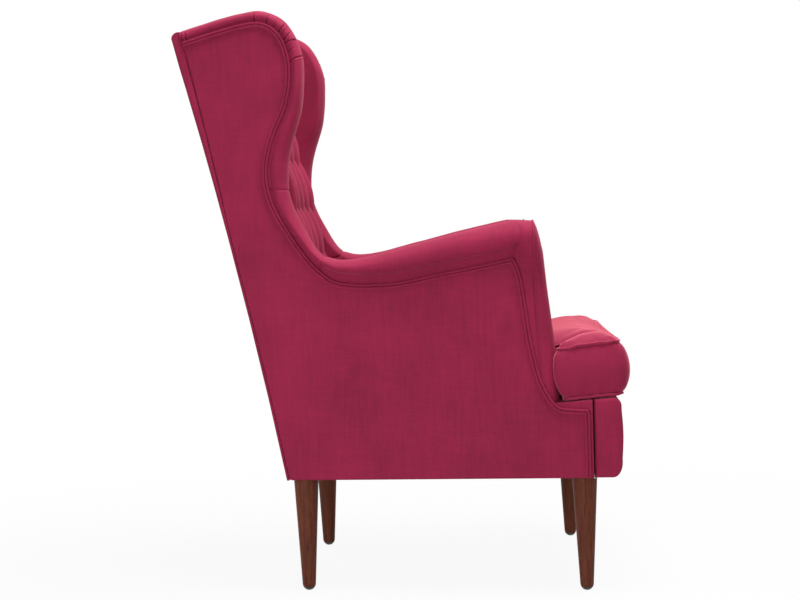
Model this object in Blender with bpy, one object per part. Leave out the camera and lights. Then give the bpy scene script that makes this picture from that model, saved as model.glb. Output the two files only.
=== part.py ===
"""High-backed wing armchair on four turned legs.

The chair stands on the floor at Z = 0 and faces -Y. X runs across it and +X is the sitter's left.
The outer side panels stand upright and draw in towards the back, so every piece of a side is drawn
in side view (Y, Z) and set at a depth measured inwards from the face of its side panel.
"""

import math

import bmesh
import bpy
from mathutils import Vector

# Running gap between pieces that touch
GAP = 0.0003

# Legs and glides
GLIDE_HEIGHT = 0.006
GLIDE_RADIUS = 0.0112
LEG_LENGTH = 0.2034
LEG_TOP_RADIUS = 0.023
LEG_FOOT_RADIUS = 0.0125
LEG_BOLT_RADIUS = 0.004
LEG_BOLT_LENGTH = 0.080
LEG_SETBACK = 0.0157
LEG_INSET = 0.037
REAR_LEG_Y = 0.1847
LEG_EASING = 0.0015

# Glide profile as shares of its radius and height
GLIDE_PROFILE = [(0.75, 0.0), (0.93, 0.2), (1.0, 0.5), (1.0, 1.0)]

# Body of the chair
FRONT_HALF_WIDTH = 0.352
REAR_HALF_WIDTH = 0.2958
BASE_FRONT_Y = -0.3477
PANEL_THICKNESS = 0.005
ARM_THICKNESS = 0.072
ROLL_CREST_INSET = 0.030
ROLL_PADDING = 0.018
FACING_THICKNESS = 0.006

# Section of the roll: the plain strip beside the welt, how it grows on a full roll, and the share
# of the rest at which the roll is widest
ROLL_SHADOW = 0.007
ROLL_SHADOW_GROWTH = 0.016
FULL_OVERHANG = 0.020
FULL_ROLL_WIDTH = 0.045
ROLL_SHOULDER_SHARE = 0.30
LEAST_TIMBER_SHARE = 0.08

# Nose of the arm front
NOSE_ABOVE_WELT = 0.018
NOSE_LEVELS = 6
NOSE_WIDENING = 1.5
NOSE_LEAST_CLOSE = 0.04
ARM_FRONT_RADIUS = 0.018

# Timber
TIMBER = 0.028
TIMBER_INSET = 0.0085
LEG_BLOCK = 0.060
REAR_BLOCK_DEPTH = 0.062
POST_DEPTH = 0.045
ARM_POST_DEPTH = 0.050
RAIL_DROP = 0.030
TOP_RAIL_HEIGHT = 0.080
TUCK_RAIL_HEIGHT = 0.050
TUCK_RAIL_RISE = 0.200
FRAME_BELOW_WELT = 0.004
REAR_BLOCK_DROP = 0.004
REAR_RAIL_READ_AT = 0.08
ARM_POST_FOOT_SETBACK = 0.037
ARM_POST_HEAD_SETBACK = 0.004
LEAST_BOARD_STEP = 0.001
CUTTER_LEAD = 0.010

# Back
BACK_FOOT_Y = 0.218
BACK_HEIGHT = 0.832
BACK_LEAN = 0.2367
BACK_BOW = 0.0097
BACK_EDGE = 0.020
BACK_SKIN = 0.005
BACK_EDGE_FROM = 0.450
BACK_CORNER_RADIUS = 0.012
BACK_PAD_FOOT_Y = 0.0715
BACK_PAD_LEAN = 0.240
BACK_PAD_TOP_RADIUS = 0.045
BACK_PAD_ABOVE_SEAT = 0.020
BACK_PAD_OVER_BACK = 0.003
BACK_PAD_REAR_DROP = 0.004
BACK_PAD_EDGE_DEPTH = 0.008
LINING = 0.002

# Diamond tufting of the inside back
TUFT_WIDTH = 0.105
TUFT_HEIGHT = 0.095
TUFT_TOP_RISE = 0.740
TUFT_ROWS = 5
PILLOW_DEPTH = 0.016
BUTTON_PULL = 0.010
BUTTON_REACH = 0.016
STEPS_PER_TUFT = 3
PILLOW_SHARPNESS = 0.45
TUFT_FADE = 0.9

# The plain head roll above the top row of buttons stands this far in front of the tufted field
HEAD_FULLNESS = 0.006
HEAD_EASE = 0.045

# Seat
SEAT_FRONT_Y = -0.398
SEAT_FRONT_RISE = 0.1473
SEAT_SLOPE = 0.08
DECK_THICKNESS = 0.018
DECK_REAR_GAP = 0.002
SPRING_RADIUS = 0.0018
SPRING_SWING = 0.022
SPRING_PITCH = 0.025
SPRING_COUNT = 4
SPRING_SPACING = 0.110
SPRING_SQUARENESS = 0.7
BORDER_DEPTH = 0.052
BORDER_RADIUS = 0.020
BORDER_TOP_RADIUS = 0.012
BORDER_TOP_DROP = 0.001
BORDER_INSET = 0.002
SEAT_LAP = 0.003

# Loose cushion
CUSHION_HALF_WIDTH = 0.345
CUSHION_REAR_Y = 0.096
CUSHION_BOXING = 0.094
CUSHION_CROWN = 0.029
CUSHION_BELLY = 0.006
CUSHION_BULGE = 0.0065
CUSHION_FRONT_BULGE = 0.008
CUSHION_CLEARANCE = 0.005
CUSHION_DRAW = 0.003
CUSHION_CORNER = 0.020
CUSHION_CORNER_DRAW = 0.3
CUSHION_CROWN_REACH = 0.120
CUSHION_BELLY_REACH = 0.040
CUSHION_SWELL_POWER = 2.2
BOXING_FULLNESS = 0.8
BOXING_LEVELS = (0.14, 0.36, 0.64, 0.86)
WELT_RADIUS = 0.0025
WELT_PITCH = 0.0054
CUSHION_WELT_STAND = 0.0008
CUSHION_WELT_OUT = 0.85
CUSHION_WELT_UP = 0.60
ZIP_SLIDER = (0.010, 0.003, 0.008)
ZIP_TRAVEL = 0.340
ZIP_SLIDER_SIDE = 0.6

# Dust cover
DUST_CLOTH = 0.0008
DUST_MARGIN = 0.012
DUST_LEG_CLEARANCE = 0.003

BASE_Z = GLIDE_HEIGHT + GAP + LEG_LENGTH + GAP
FRAME_Z = BASE_Z + GAP
FRONT_LEG_Y = BASE_FRONT_Y + LEG_SETBACK
TIMBER_BACK = TIMBER_INSET + TIMBER
TIMBER_FRONT_Y = BASE_FRONT_Y + FACING_THICKNESS + GAP
RAIL_BELOW = DECK_THICKNESS + 2 * SPRING_RADIUS + 3 * GAP

# The wing and arm roll, from the top of the back round to the front of the arm.
# Each station is a point on the welt, the point of the crest above it, both as depth and
# height above the base, and how far the roll hangs over the side panel there.
DRAWN_ROLL = [
    (0.3893, 0.813, 0.397, 0.839, 0.004),
    (0.357, 0.822, 0.361, 0.850, 0.004),
    (0.319, 0.832, 0.323, 0.860, 0.004),
    (0.281, 0.841, 0.283, 0.868, 0.004),
    (0.249, 0.844, 0.247, 0.872, 0.004),
    (0.228, 0.837, 0.213, 0.860, 0.004),
    (0.210, 0.820, 0.190, 0.838, 0.004),
    (0.198, 0.790, 0.173, 0.800, 0.005),
    (0.194, 0.750, 0.170, 0.748, 0.006),
    (0.203, 0.695, 0.175, 0.690, 0.006),
    (0.227, 0.641, 0.193, 0.632, 0.006),
    (0.242, 0.586, 0.203, 0.585, 0.006),
    (0.2395, 0.536, 0.203, 0.533, 0.006),
    (0.219, 0.484, 0.184, 0.480, 0.008),
    (0.170, 0.409, 0.152, 0.428, 0.013),
    (0.127, 0.369, 0.122, 0.410, 0.018),
    (0.090, 0.359, 0.089, 0.4072, 0.019),
    (0.049, 0.357, 0.049, 0.4135, 0.020),
    (-0.003, 0.360, -0.004, 0.4263, 0.020),
    (-0.0765, 0.374, -0.078, 0.4445, 0.020),
    (-0.150, 0.387, -0.152, 0.4608, 0.020),
    (-0.208, 0.399, -0.2135, 0.4723, 0.020),
]
WELT_BELOW_BACK = 0.019
WING_FOOT = 0.475
ROLL_STEPS = 2
ROLL_SEAM_GAP = 0.005
WING_SEAM = 14.5
WING_BOARD_START = 1.2
RAIL_SPLIT = 15.0
RAIL_END = 0.06

# The welt in front of the arm, from the corner under the roll down to the base
FRONT_WELT = [
    (-0.208, 0.399),
    (-0.220, 0.363),
    (-0.232, 0.272),
    (-0.242, 0.217),
    (-0.255, 0.171),
    (-0.281, 0.130),
    (-0.315, 0.122),
    (-0.3375, 0.121),
]

# The front edge of the arm, from the nose of the roll down to the seat
ARM_FRONT = [
    (-0.232, 0.4735),
    (-0.253, 0.4615),
    (-0.2635, 0.413),
    (-0.269, 0.347),
    (-0.278, 0.266),
    (-0.284, 0.215),
    (-0.287, 0.138),
]


def follow_back(y, rise):
    """A point of the wing as drawn, carried up along the leaning back to the height asked for."""
    stretch = (BACK_HEIGHT - WELT_BELOW_BACK - WING_FOOT) / (DRAWN_ROLL[0][1] - WING_FOOT)
    lift = max(rise - WING_FOOT, 0.0) * (stretch - 1)
    return y + BACK_LEAN * lift, rise + lift


ROLL = [
    (*follow_back(welt_y, welt_rise), *follow_back(crest_y, crest_rise), overhang)
    for welt_y, welt_rise, crest_y, crest_rise, overhang in DRAWN_ROLL
]


# Plain tools

def clear_scene():
    for item in list(bpy.data.objects):
        bpy.data.objects.remove(item)


def make_material(name, colour, roughness, metallic=0.0):
    finish = bpy.data.materials.new(name)
    finish.use_nodes = True
    shader = finish.node_tree.nodes["Principled BSDF"]
    shader.inputs["Base Color"].default_value = (*colour, 1.0)
    shader.inputs["Roughness"].default_value = roughness
    shader.inputs["Metallic"].default_value = metallic
    finish.diffuse_color = (*colour, 1.0)
    return finish


def add_solid(name, mesh_edit, finish, crease_angle=40):
    """Turn a closed bmesh into a named object whose faces point out."""
    bmesh.ops.recalc_face_normals(mesh_edit, faces=mesh_edit.faces)
    if mesh_edit.calc_volume(signed=True) < 0:
        bmesh.ops.reverse_faces(mesh_edit, faces=mesh_edit.faces)
    mesh = bpy.data.meshes.new(name)
    mesh_edit.to_mesh(mesh)
    mesh_edit.free()
    mesh.materials.append(finish.copy())
    mesh.materials[0].name = name + "_finish"
    mesh.shade_smooth()
    mesh.set_sharp_from_angle(angle=math.radians(crease_angle))
    solid = bpy.data.objects.new(name, mesh)
    bpy.context.scene.collection.objects.link(solid)
    return solid


def mirror_to_right(solid):
    """Copy a left piece to the right-hand side of the chair."""
    mesh_edit = bmesh.new()
    mesh_edit.from_mesh(solid.data)
    for vertex in mesh_edit.verts:
        vertex.co.x = -vertex.co.x
    return add_solid(solid.name.replace("_left", "_right"), mesh_edit, solid.data.materials[0])


def loft(name, rings, finish, closed=False, crease_angle=40):
    """Join rings of points into a body, capped at both ends unless the rings close on themselves."""
    mesh_edit = bmesh.new()
    rows = [[mesh_edit.verts.new(point) for point in ring] for ring in rings]
    pairs = list(zip(rows, rows[1:]))
    if closed:
        pairs.append((rows[-1], rows[0]))
    for row, following in pairs:
        for index in range(len(row)):
            ahead = (index + 1) % len(row)
            mesh_edit.faces.new((row[index], row[ahead], following[ahead], following[index]))
    if not closed:
        mesh_edit.faces.new(rows[0])
        mesh_edit.faces.new(rows[-1])
    return add_solid(name, mesh_edit, finish, crease_angle)


def smooth_curve(points, steps):
    """Points on a smooth curve through the given ones, with so many steps to each span."""
    def at(index):
        return points[min(max(index, 0), len(points) - 1)]

    curve = []
    for span in range(len(points) - 1):
        before, start, end, after = (at(span + shift) for shift in (-1, 0, 1, 2))
        for step in range(steps):
            u = step / steps
            curve.append(tuple(
                0.5 * (2 * b + (c - a) * u + (2 * a - 5 * b + 4 * c - d) * u * u
                       + (3 * b - a - 3 * c + d) * u ** 3)
                for a, b, c, d in zip(before, start, end, after)))
    curve.append(tuple(points[-1]))
    return curve


def curve_at(points, place):
    """The point of the smooth curve at a fractional station number."""
    span = min(int(place), len(points) - 2)
    fine = 1000
    step = round((place - span) * fine)
    first = max(span - 1, 0)
    window = points[first:span + 3]
    return smooth_curve(window, fine)[(span - first) * fine + step]


def arc(centre, radius, start, end, steps):
    """Points of an arc in side view, angles in degrees."""
    points = []
    for step in range(steps + 1):
        angle = math.radians(start + (end - start) * step / steps)
        points.append((centre[0] + radius * math.cos(angle), centre[1] + radius * math.sin(angle)))
    return points


# Where the faces of the chair lie

def side_x(y, inset=0.0):
    """Half width of the chair at a depth, less a distance inwards from the side panel's face."""
    taper = (FRONT_HALF_WIDTH - REAR_HALF_WIDTH) / (REAR_LEG_Y - FRONT_LEG_Y)
    return FRONT_HALF_WIDTH - taper * (y - FRONT_LEG_Y) - inset


def back_levels():
    """Heights above the base at which the line of the back turns a little."""
    low = [BACK_EDGE_FROM * step / 3 for step in range(3)]
    high = [BACK_EDGE_FROM + (BACK_HEIGHT - BACK_EDGE_FROM) * step / 4 for step in range(5)]
    return low + high


def back_thickness(rise):
    """The outside back swells to a padded edge towards the top."""
    share = min(max((rise - BACK_EDGE_FROM) / (BACK_HEIGHT - BACK_EDGE_FROM), 0.0), 1.0)
    return BACK_SKIN + (BACK_EDGE - BACK_SKIN) * share


def bowed_back_y(rise):
    """The back leans, and bows a little forwards halfway up."""
    share = rise / BACK_HEIGHT
    return BACK_FOOT_Y + BACK_LEAN * rise - BACK_BOW * 4 * share * (1 - share)


def along_levels(shape, z):
    """A depth read from straight runs between the levels of the back."""
    levels = back_levels()
    rise = z - BASE_Z
    span = 0
    while span < len(levels) - 2 and rise > levels[span + 1]:
        span += 1
    low, high = levels[span], levels[span + 1]
    share = (rise - low) / (high - low)
    return shape(low) + (shape(high) - shape(low)) * share


def back_y(z):
    """The outer face of the back."""
    return along_levels(bowed_back_y, z)


def back_inner_y(z, inwards=0.0):
    """A depth behind the inner face of the outside back, or so far in front of it."""
    return along_levels(lambda rise: bowed_back_y(rise) - back_thickness(rise), z) - GAP - inwards


def frame_top():
    """Height of the top of the frame, just under the welt line at the back."""
    return BASE_Z + ROLL[0][1] - FRAME_BELOW_WELT


def seat_z(y, below=0.0):
    """The sloping plane that the loose cushion lies on."""
    return BASE_Z + SEAT_FRONT_RISE - SEAT_SLOPE * (y - SEAT_FRONT_Y) - below


def pad_front_y(z):
    """The face of the inside back before it is tufted, fuller above the top row of buttons."""
    share = min(max((z - BASE_Z - TUFT_TOP_RISE) / HEAD_EASE, 0.0), 1.0)
    head = HEAD_FULLNESS * share * share * (3 - 2 * share)
    return BACK_PAD_FOOT_Y + BACK_PAD_LEAN * (z - BASE_Z) - head


def between_planes(name, outline, outer_inset, inner_inset, finish):
    """A piece of the left side: an outline in side view between two depths from the side panel."""
    low = [(side_x(y, inner_inset), y, z) for y, z in outline]
    high = [(side_x(y, outer_inset), y, z) for y, z in outline]
    left = loft(name + "_left", [low, high], finish)
    mirror_to_right(left)


def across(name, outline, inset, finish):
    """A piece that crosses the chair: an outline in side view from one side to the other."""
    low = [(-side_x(y, inset), y, z) for y, z in outline]
    high = [(side_x(y, inset), y, z) for y, z in outline]
    return loft(name, [low, high], finish)


def lifted(points):
    """Side-view points given as height above the base, set at their height above the floor."""
    return [(y, rise + BASE_Z) for y, rise in points]


# The welt line and the roll

def roll_stations(first, last):
    """Stations of the roll between two station numbers, the ends included."""
    whole = smooth_curve(ROLL, ROLL_STEPS)
    inner = [
        whole[index]
        for index in range(len(whole))
        if first + 0.02 < index / ROLL_STEPS < last - 0.02
    ]
    return [curve_at(ROLL, first)] + inner + [curve_at(ROLL, last)]


def along_roll(station, share_of_way=None, distance=None):
    """A side-view point between the welt and the crest of a station."""
    welt_y, welt_rise, crest_y, crest_rise, _ = station
    width = math.hypot(crest_y - welt_y, crest_rise - welt_rise)
    share = share_of_way if distance is None else distance / width
    y = welt_y + (crest_y - welt_y) * share
    return y, BASE_Z + welt_rise + (crest_rise - welt_rise) * share


def timber_share(station):
    """How far the timber under the padding reaches from the welt to the crest."""
    welt_y, welt_rise, crest_y, crest_rise, _ = station
    width = math.hypot(crest_y - welt_y, crest_rise - welt_rise)
    return max(1 - ROLL_PADDING / width, LEAST_TIMBER_SHARE)


def roll_section(station):
    """One section of the roll: a padded hood round the edge of the timber."""
    welt_y, welt_rise, crest_y, crest_rise, overhang = station
    width = math.hypot(crest_y - welt_y, crest_rise - welt_rise)
    fullness = min(overhang / FULL_OVERHANG, 1.0) * min(width / FULL_ROLL_WIDTH, 1.0)
    shadow = ROLL_SHADOW + ROLL_SHADOW_GROWTH * fullness
    shoulder = shadow + (width - shadow) * ROLL_SHOULDER_SHARE
    timber = timber_share(station) * width + GAP
    flat = [(GAP / 2, -TIMBER_INSET + GAP), (GAP / 2, 0.0), (shadow, 0.0)]
    undercut = []
    for step in range(1, 3):
        angle = math.pi / 2 * step / 3
        undercut.append((
            shadow + (shoulder - shadow) * (1 - math.cos(angle)), overhang * math.sin(angle)))
    outside = []
    inside = []
    for step in range(4):
        angle = math.pi / 2 * step / 4
        outside.append((
            shoulder + (width - shoulder) * math.sin(angle),
            overhang - (overhang + ROLL_CREST_INSET) * (1 - math.cos(angle))))
        inside.append((
            shoulder + (width - shoulder) * math.cos(angle),
            -ROLL_CREST_INSET - (ARM_THICKNESS - ROLL_CREST_INSET) * math.sin(angle)))
    inner_side = [
        (shoulder, -ARM_THICKNESS),
        (GAP / 2, -ARM_THICKNESS),
        (GAP / 2, -TIMBER_BACK - GAP),
        (timber, -TIMBER_BACK - GAP),
        (timber, -TIMBER_INSET + GAP),
    ]
    ring = []
    for distance, proud in flat + undercut + outside + inside + inner_side:
        y, z = along_roll(station, distance=distance)
        ring.append((side_x(y, -proud), y, z))
    return ring


def make_rolls(velvet):
    for name, first, end in (
            ("wing_roll", 0, WING_SEAM - ROLL_SEAM_GAP),
            ("arm_roll", WING_SEAM + ROLL_SEAM_GAP, len(ROLL) - 1)):
        rings = [roll_section(station) for station in roll_stations(first, end)]
        mirror_to_right(loft(name + "_left", rings, velvet))


def welt_line():
    """The line of the double welt in side view, from the top of the back to the foot of the base."""
    over = [station[:2] for station in smooth_curve(ROLL, ROLL_STEPS)]
    front = smooth_curve(FRONT_WELT[:-1], 2) + [FRONT_WELT[-1], (FRONT_WELT[-1][0], GAP)]
    return lifted(over + front[1:])


def make_side_welts(velvet):
    """Two cords side by side, swept along the welt line as one body."""
    line = welt_line()
    profile = []
    for sign, start in ((1, -60), (-1, 120)):
        for step in range(4):
            angle = math.radians(start + 240 * step / 4)
            profile.append((
                sign * WELT_PITCH / 2 + WELT_RADIUS * math.cos(angle),
                GAP + WELT_RADIUS + WELT_RADIUS * math.sin(angle)))
    rings = []
    for index, (y, z) in enumerate(line):
        before = Vector(line[max(index - 1, 0)])
        after = Vector(line[min(index + 1, len(line) - 1)])
        here = Vector((y, z))
        arriving = (here - before).normalized() if index else (after - here).normalized()
        leaving = (after - here).normalized() if index < len(line) - 1 else arriving
        middle = (arriving + leaving).normalized()
        mitre = 1 / max(middle.dot(arriving), 0.5)
        normal = Vector((-middle.y, middle.x))
        ring = []
        for offset, proud in profile:
            place = here + normal * offset * mitre
            ring.append((side_x(place.x, -proud), place.x, place.y))
        rings.append(ring)
    mirror_to_right(loft("side_welt_left", rings, velvet))


# Upholstered panels

def front_welt_points():
    return lifted(smooth_curve(FRONT_WELT[:-1], 2))


def arm_front_points():
    return lifted(smooth_curve(ARM_FRONT, 2))


def inset_towards(points, dy, dz):
    return [(y + dy, z + dz) for y, z in points]


def back_edge(low_z, high_z, inwards=0.0):
    """Points down the inner face of the outside back."""
    between = [BASE_Z + rise for rise in back_levels() if low_z < BASE_Z + rise < high_z]
    return [(back_inner_y(z, inwards), z) for z in [high_z] + between[::-1] + [low_z]]


def make_outer_sides(velvet):
    stations = smooth_curve(ROLL, ROLL_STEPS)
    over = [along_roll(station, distance=-GAP / 2) for station in stations]
    top_z = over[0][1]
    front = inset_towards(front_welt_points()[1:], GAP, -GAP)
    toe = front[-1][1]
    outline = over[1:] + front + [(TIMBER_FRONT_Y, toe), (TIMBER_FRONT_Y, FRAME_Z)]
    outline += list(reversed(back_edge(FRAME_Z, top_z, GAP)))
    between_planes("outer_side", outline, 0.0, PANEL_THICKNESS, velvet)


def make_inside_wings(velvet):
    stations = roll_stations(0, WING_SEAM)
    over = [along_roll(station, distance=-GAP / 2) for station in stations]
    seam_z = over[-1][1]
    post = back_edge(seam_z, frame_top(), POST_DEPTH + GAP)
    over = [point for point in over if point[0] < post[0][0]]
    outline = over + list(reversed(post))
    between_planes("inside_wing", outline, TIMBER_BACK + GAP, ARM_THICKNESS, velvet)


def make_inside_arms(velvet):
    stations = roll_stations(WING_SEAM, len(ROLL) - 1)
    over = [along_roll(station, distance=-GAP / 2) for station in stations]
    seam_z = over[0][1] - GAP
    over[0] = (over[0][0], seam_z)
    front = inset_towards(front_welt_points()[1:], GAP, -GAP)
    front = [point for point in front if point[1] > seat_z(point[0], -SEAT_LAP)]
    bottom = front[-1][1]
    outline = over + front + list(reversed(back_edge(bottom, seam_z, POST_DEPTH + GAP)))
    between_planes("inside_arm", outline, TIMBER_BACK + GAP, ARM_THICKNESS, velvet)


def front_line_y(line, z):
    """Depth of a falling side-view line at a height."""
    for (upper_y, upper_z), (lower_y, lower_z) in zip(line, line[1:]):
        if lower_z <= z <= upper_z:
            share = (upper_z - z) / (upper_z - lower_z)
            return upper_y + (lower_y - upper_y) * share
    return line[0][0] if z > line[0][1] else line[-1][0]


def make_arm_fronts(velvet):
    """The padded facing in front of each arm, widening at the top into the nose of the roll."""
    front_line = arm_front_points()
    last = ROLL[-1]
    rear_line = lifted([last[2:4]]) + front_welt_points()
    bottom = seat_z(ARM_FRONT[-1][0], -GAP)
    under_roll = BASE_Z + last[1] + NOSE_ABOVE_WELT
    top = front_line[0][1]
    levels = [bottom] + [z for _, z in reversed(front_welt_points()) if z > bottom + SEAT_LAP]
    levels += [under_roll]
    for step in range(1, NOSE_LEVELS + 1):
        levels.append(under_roll + (top - under_roll) * math.sin(math.pi / 2 * step / NOSE_LEVELS))
    rings = []
    for z in levels:
        rear = front_line_y(rear_line, z) - GAP
        front = front_line_y(front_line, z)
        swell = max((z - under_roll) / (top - under_roll), 0.0)
        overhang = last[4] * math.sin(math.pi * min(swell * NOSE_WIDENING, 1.0) / 2)
        close = math.sqrt(max(1 - swell ** 4, NOSE_LEAST_CLOSE))
        middle = ROLL_CREST_INSET
        outer = middle - (middle + overhang) * close
        inner = middle + (ARM_THICKNESS - middle) * close
        radius = min(ARM_FRONT_RADIUS, (rear - front) * 0.8, (inner - outer) * 0.45)
        ring = [(outer, rear), (outer, front + radius)]
        ring += arc((outer + radius, front + radius), radius, 180, 270, 3)[1:]
        ring += arc((inner - radius, front + radius), radius, 270, 360, 3)[:-1]
        ring += [(inner, front + radius), (inner, rear)]
        rings.append([(side_x(y, inset), y, z) for inset, y in ring])
    mirror_to_right(loft("arm_front_left", rings, velvet))


def make_front_corners(velvet):
    """The covered toe of the base below each arm front, an angle over the corner of the frame."""
    welt = [point for point in front_welt_points() if point[1] < seat_z(point[0], SEAT_LAP)]
    under = inset_towards(welt, 0.0, GAP)
    inner_y = TIMBER_FRONT_Y - GAP
    outline = under + [(inner_y, under[-1][1]), (inner_y, FRAME_Z), (BASE_FRONT_Y, FRAME_Z)]
    outline += [(BASE_FRONT_Y, seat_z(BASE_FRONT_Y, GAP))]
    outline += [(under[0][0], seat_z(under[0][0], GAP))]
    between_planes("front_corner", outline, 0.0, ARM_THICKNESS, velvet)


def make_front_border(velvet):
    rear = BASE_FRONT_Y - GAP
    front = rear - BORDER_DEPTH
    top = seat_z(front, GAP)
    low_centre = (front + BORDER_RADIUS, FRAME_Z + BORDER_RADIUS)
    high_centre = (front + BORDER_TOP_RADIUS, top - BORDER_TOP_RADIUS - BORDER_TOP_DROP)
    outline = [(rear, FRAME_Z)]
    outline += arc(low_centre, BORDER_RADIUS, 270, 180, 4)
    outline += arc(high_centre, BORDER_TOP_RADIUS, 180, 90, 4)
    outline += [(rear, seat_z(rear, GAP))]
    across("front_border", outline, BORDER_INSET, velvet)


def make_outer_back(velvet):
    top = BASE_Z + BACK_HEIGHT
    radius = BACK_CORNER_RADIUS
    levels = [FRAME_Z] + [BASE_Z + rise for rise in back_levels()[1:-1]] + [top - radius]
    rear = [(back_y(z), z) for z in levels]
    corner = arc((rear[-1][0] - radius, top - radius), radius, 0, 90, 4)
    front = back_edge(FRAME_Z, top, -GAP)
    across("outer_back", rear + corner[1:] + front, 0.0, velvet)


# Inside back

def tuft_depth(x, z):
    """How far the cover stands behind the crown of its pillows at a place on the inside back."""
    top = BASE_Z + TUFT_TOP_RISE
    lowest = top - (TUFT_ROWS - 1) * TUFT_HEIGHT
    across_count = x / TUFT_WIDTH + 0.5
    down_count = (top - z) / TUFT_HEIGHT
    crease_a = abs(math.sin(math.pi * (across_count + down_count / 2)))
    crease_b = abs(math.sin(math.pi * (across_count - down_count / 2)))
    pillow = (crease_a * crease_b) ** PILLOW_SHARPNESS
    fade_low = min(max((z - lowest) / TUFT_HEIGHT + TUFT_FADE, 0.0), 1.0)
    fade_high = min(max((top - z) / TUFT_HEIGHT + TUFT_FADE, 0.0), 1.0)
    depth = PILLOW_DEPTH * (1 - pillow) * fade_low * fade_high
    for row in range(TUFT_ROWS):
        button_z = top - row * TUFT_HEIGHT
        shift = 0.5 if row % 2 == 0 else 0.0
        button_x = (round(x / TUFT_WIDTH - shift) + shift) * TUFT_WIDTH
        reach = math.hypot(x - button_x, z - button_z) / BUTTON_REACH
        depth += BUTTON_PULL * math.exp(-reach * reach)
    return depth


def make_inside_back(velvet):
    """The tufted back pad, built as sections across the chair."""
    inset = ARM_THICKNESS + GAP
    bottom = seat_z(BACK_PAD_FOOT_Y, -BACK_PAD_ABOVE_SEAT)
    radius = BACK_PAD_TOP_RADIUS
    shoulder = BASE_Z + BACK_HEIGHT + BACK_PAD_OVER_BACK - radius
    row_height = TUFT_HEIGHT / STEPS_PER_TUFT
    column_width = TUFT_WIDTH / STEPS_PER_TUFT / 2
    tuft_top = BASE_Z + TUFT_TOP_RISE
    above = int((shoulder - tuft_top) / row_height - 0.3)
    below = int((tuft_top - bottom) / row_height - 0.3)
    heights = [tuft_top + row_height * step for step in range(-below, above + 1)]
    heights = [bottom] + heights + [shoulder]
    behind = TIMBER + LINING + 2 * GAP
    over_rail = frame_top() + GAP
    rear_top = shoulder + radius - BACK_PAD_REAR_DROP
    half_columns = int(side_x(back_y(shoulder), inset) / column_width - 0.3)
    columns = [index * column_width for index in range(-half_columns, half_columns + 1)]
    rings = []
    for column in [None] + columns + [None]:
        at_edge = column is None
        sign = -1 if not rings else 1
        ring = []
        for z in heights:
            depth = BACK_PAD_EDGE_DEPTH if at_edge else tuft_depth(column, z)
            ring.append((pad_front_y(z) + depth, z))
        centre_y = pad_front_y(shoulder) + radius
        ring += arc((centre_y, shoulder), radius, 180, 90, 4)[1:]
        ring.append((back_inner_y(rear_top), rear_top))
        ring.append((back_inner_y(over_rail), over_rail))
        ring += back_edge(bottom, over_rail, behind)
        if at_edge:
            rings.append([(sign * side_x(y, inset), y, z) for y, z in ring])
        else:
            rings.append([(column, y, z) for y, z in ring])
    loft("inside_back", rings, velvet, crease_angle=55)


# Timber frame

def make_leg_blocks(timber):
    """The four corner blocks that the legs screw into, each bored for its hanger bolt."""
    front_top = seat_z(TIMBER_FRONT_Y + LEG_BLOCK, RAIL_BELOW)
    front = [
        (TIMBER_FRONT_Y, FRAME_Z),
        (TIMBER_FRONT_Y, front_top),
        (TIMBER_FRONT_Y + LEG_BLOCK, front_top),
        (TIMBER_FRONT_Y + LEG_BLOCK, FRAME_Z),
    ]
    rear_top = rear_block_top()
    rear_front_y = rear_block_front()
    rear = [
        (rear_front_y, FRAME_Z),
        (rear_front_y, rear_top),
        (back_inner_y(rear_top), rear_top),
        (back_inner_y(FRAME_Z), FRAME_Z),
    ]
    for name, outline, leg_y in (
            ("front_leg_block", front, FRONT_LEG_Y),
            ("rear_leg_block", rear, REAR_LEG_Y)):
        for suffix, sign in (("_left", 1), ("_right", -1)):
            outer = [(sign * side_x(y, TIMBER_INSET), y, z) for y, z in outline]
            inner = [(sign * side_x(y, TIMBER_INSET + LEG_BLOCK), y, z) for y, z in outline]
            block = loft(name + suffix, [inner, outer], timber)
            bore(block, sign * side_x(leg_y, LEG_INSET), leg_y)


def bore(block, x, y):
    """Cut the blind hole for a hanger bolt up into a block."""
    depth = LEG_BOLT_LENGTH / 2 + GAP
    radius = LEG_BOLT_RADIUS + GAP
    low = [(x + radius * math.cos(a), y + radius * math.sin(a), FRAME_Z - CUTTER_LEAD) for a in turn(12)]
    high = [(px, py, BASE_Z + depth) for px, py, _ in low]
    cutter = loft(block.name + "_cutter", [low, high], block.data.materials[0])
    cutter.hide_render = True
    cutter.display_type = "WIRE"
    cut = block.modifiers.new("bolt_hole", "BOOLEAN")
    cut.operation = "DIFFERENCE"
    cut.object = cutter


def turn(sides):
    return [2 * math.pi * step / sides for step in range(sides)]


def rear_block_top():
    return seat_z(REAR_LEG_Y, RAIL_BELOW + REAR_BLOCK_DROP)


def rear_block_front():
    return back_inner_y(FRAME_Z) - REAR_BLOCK_DEPTH


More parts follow.
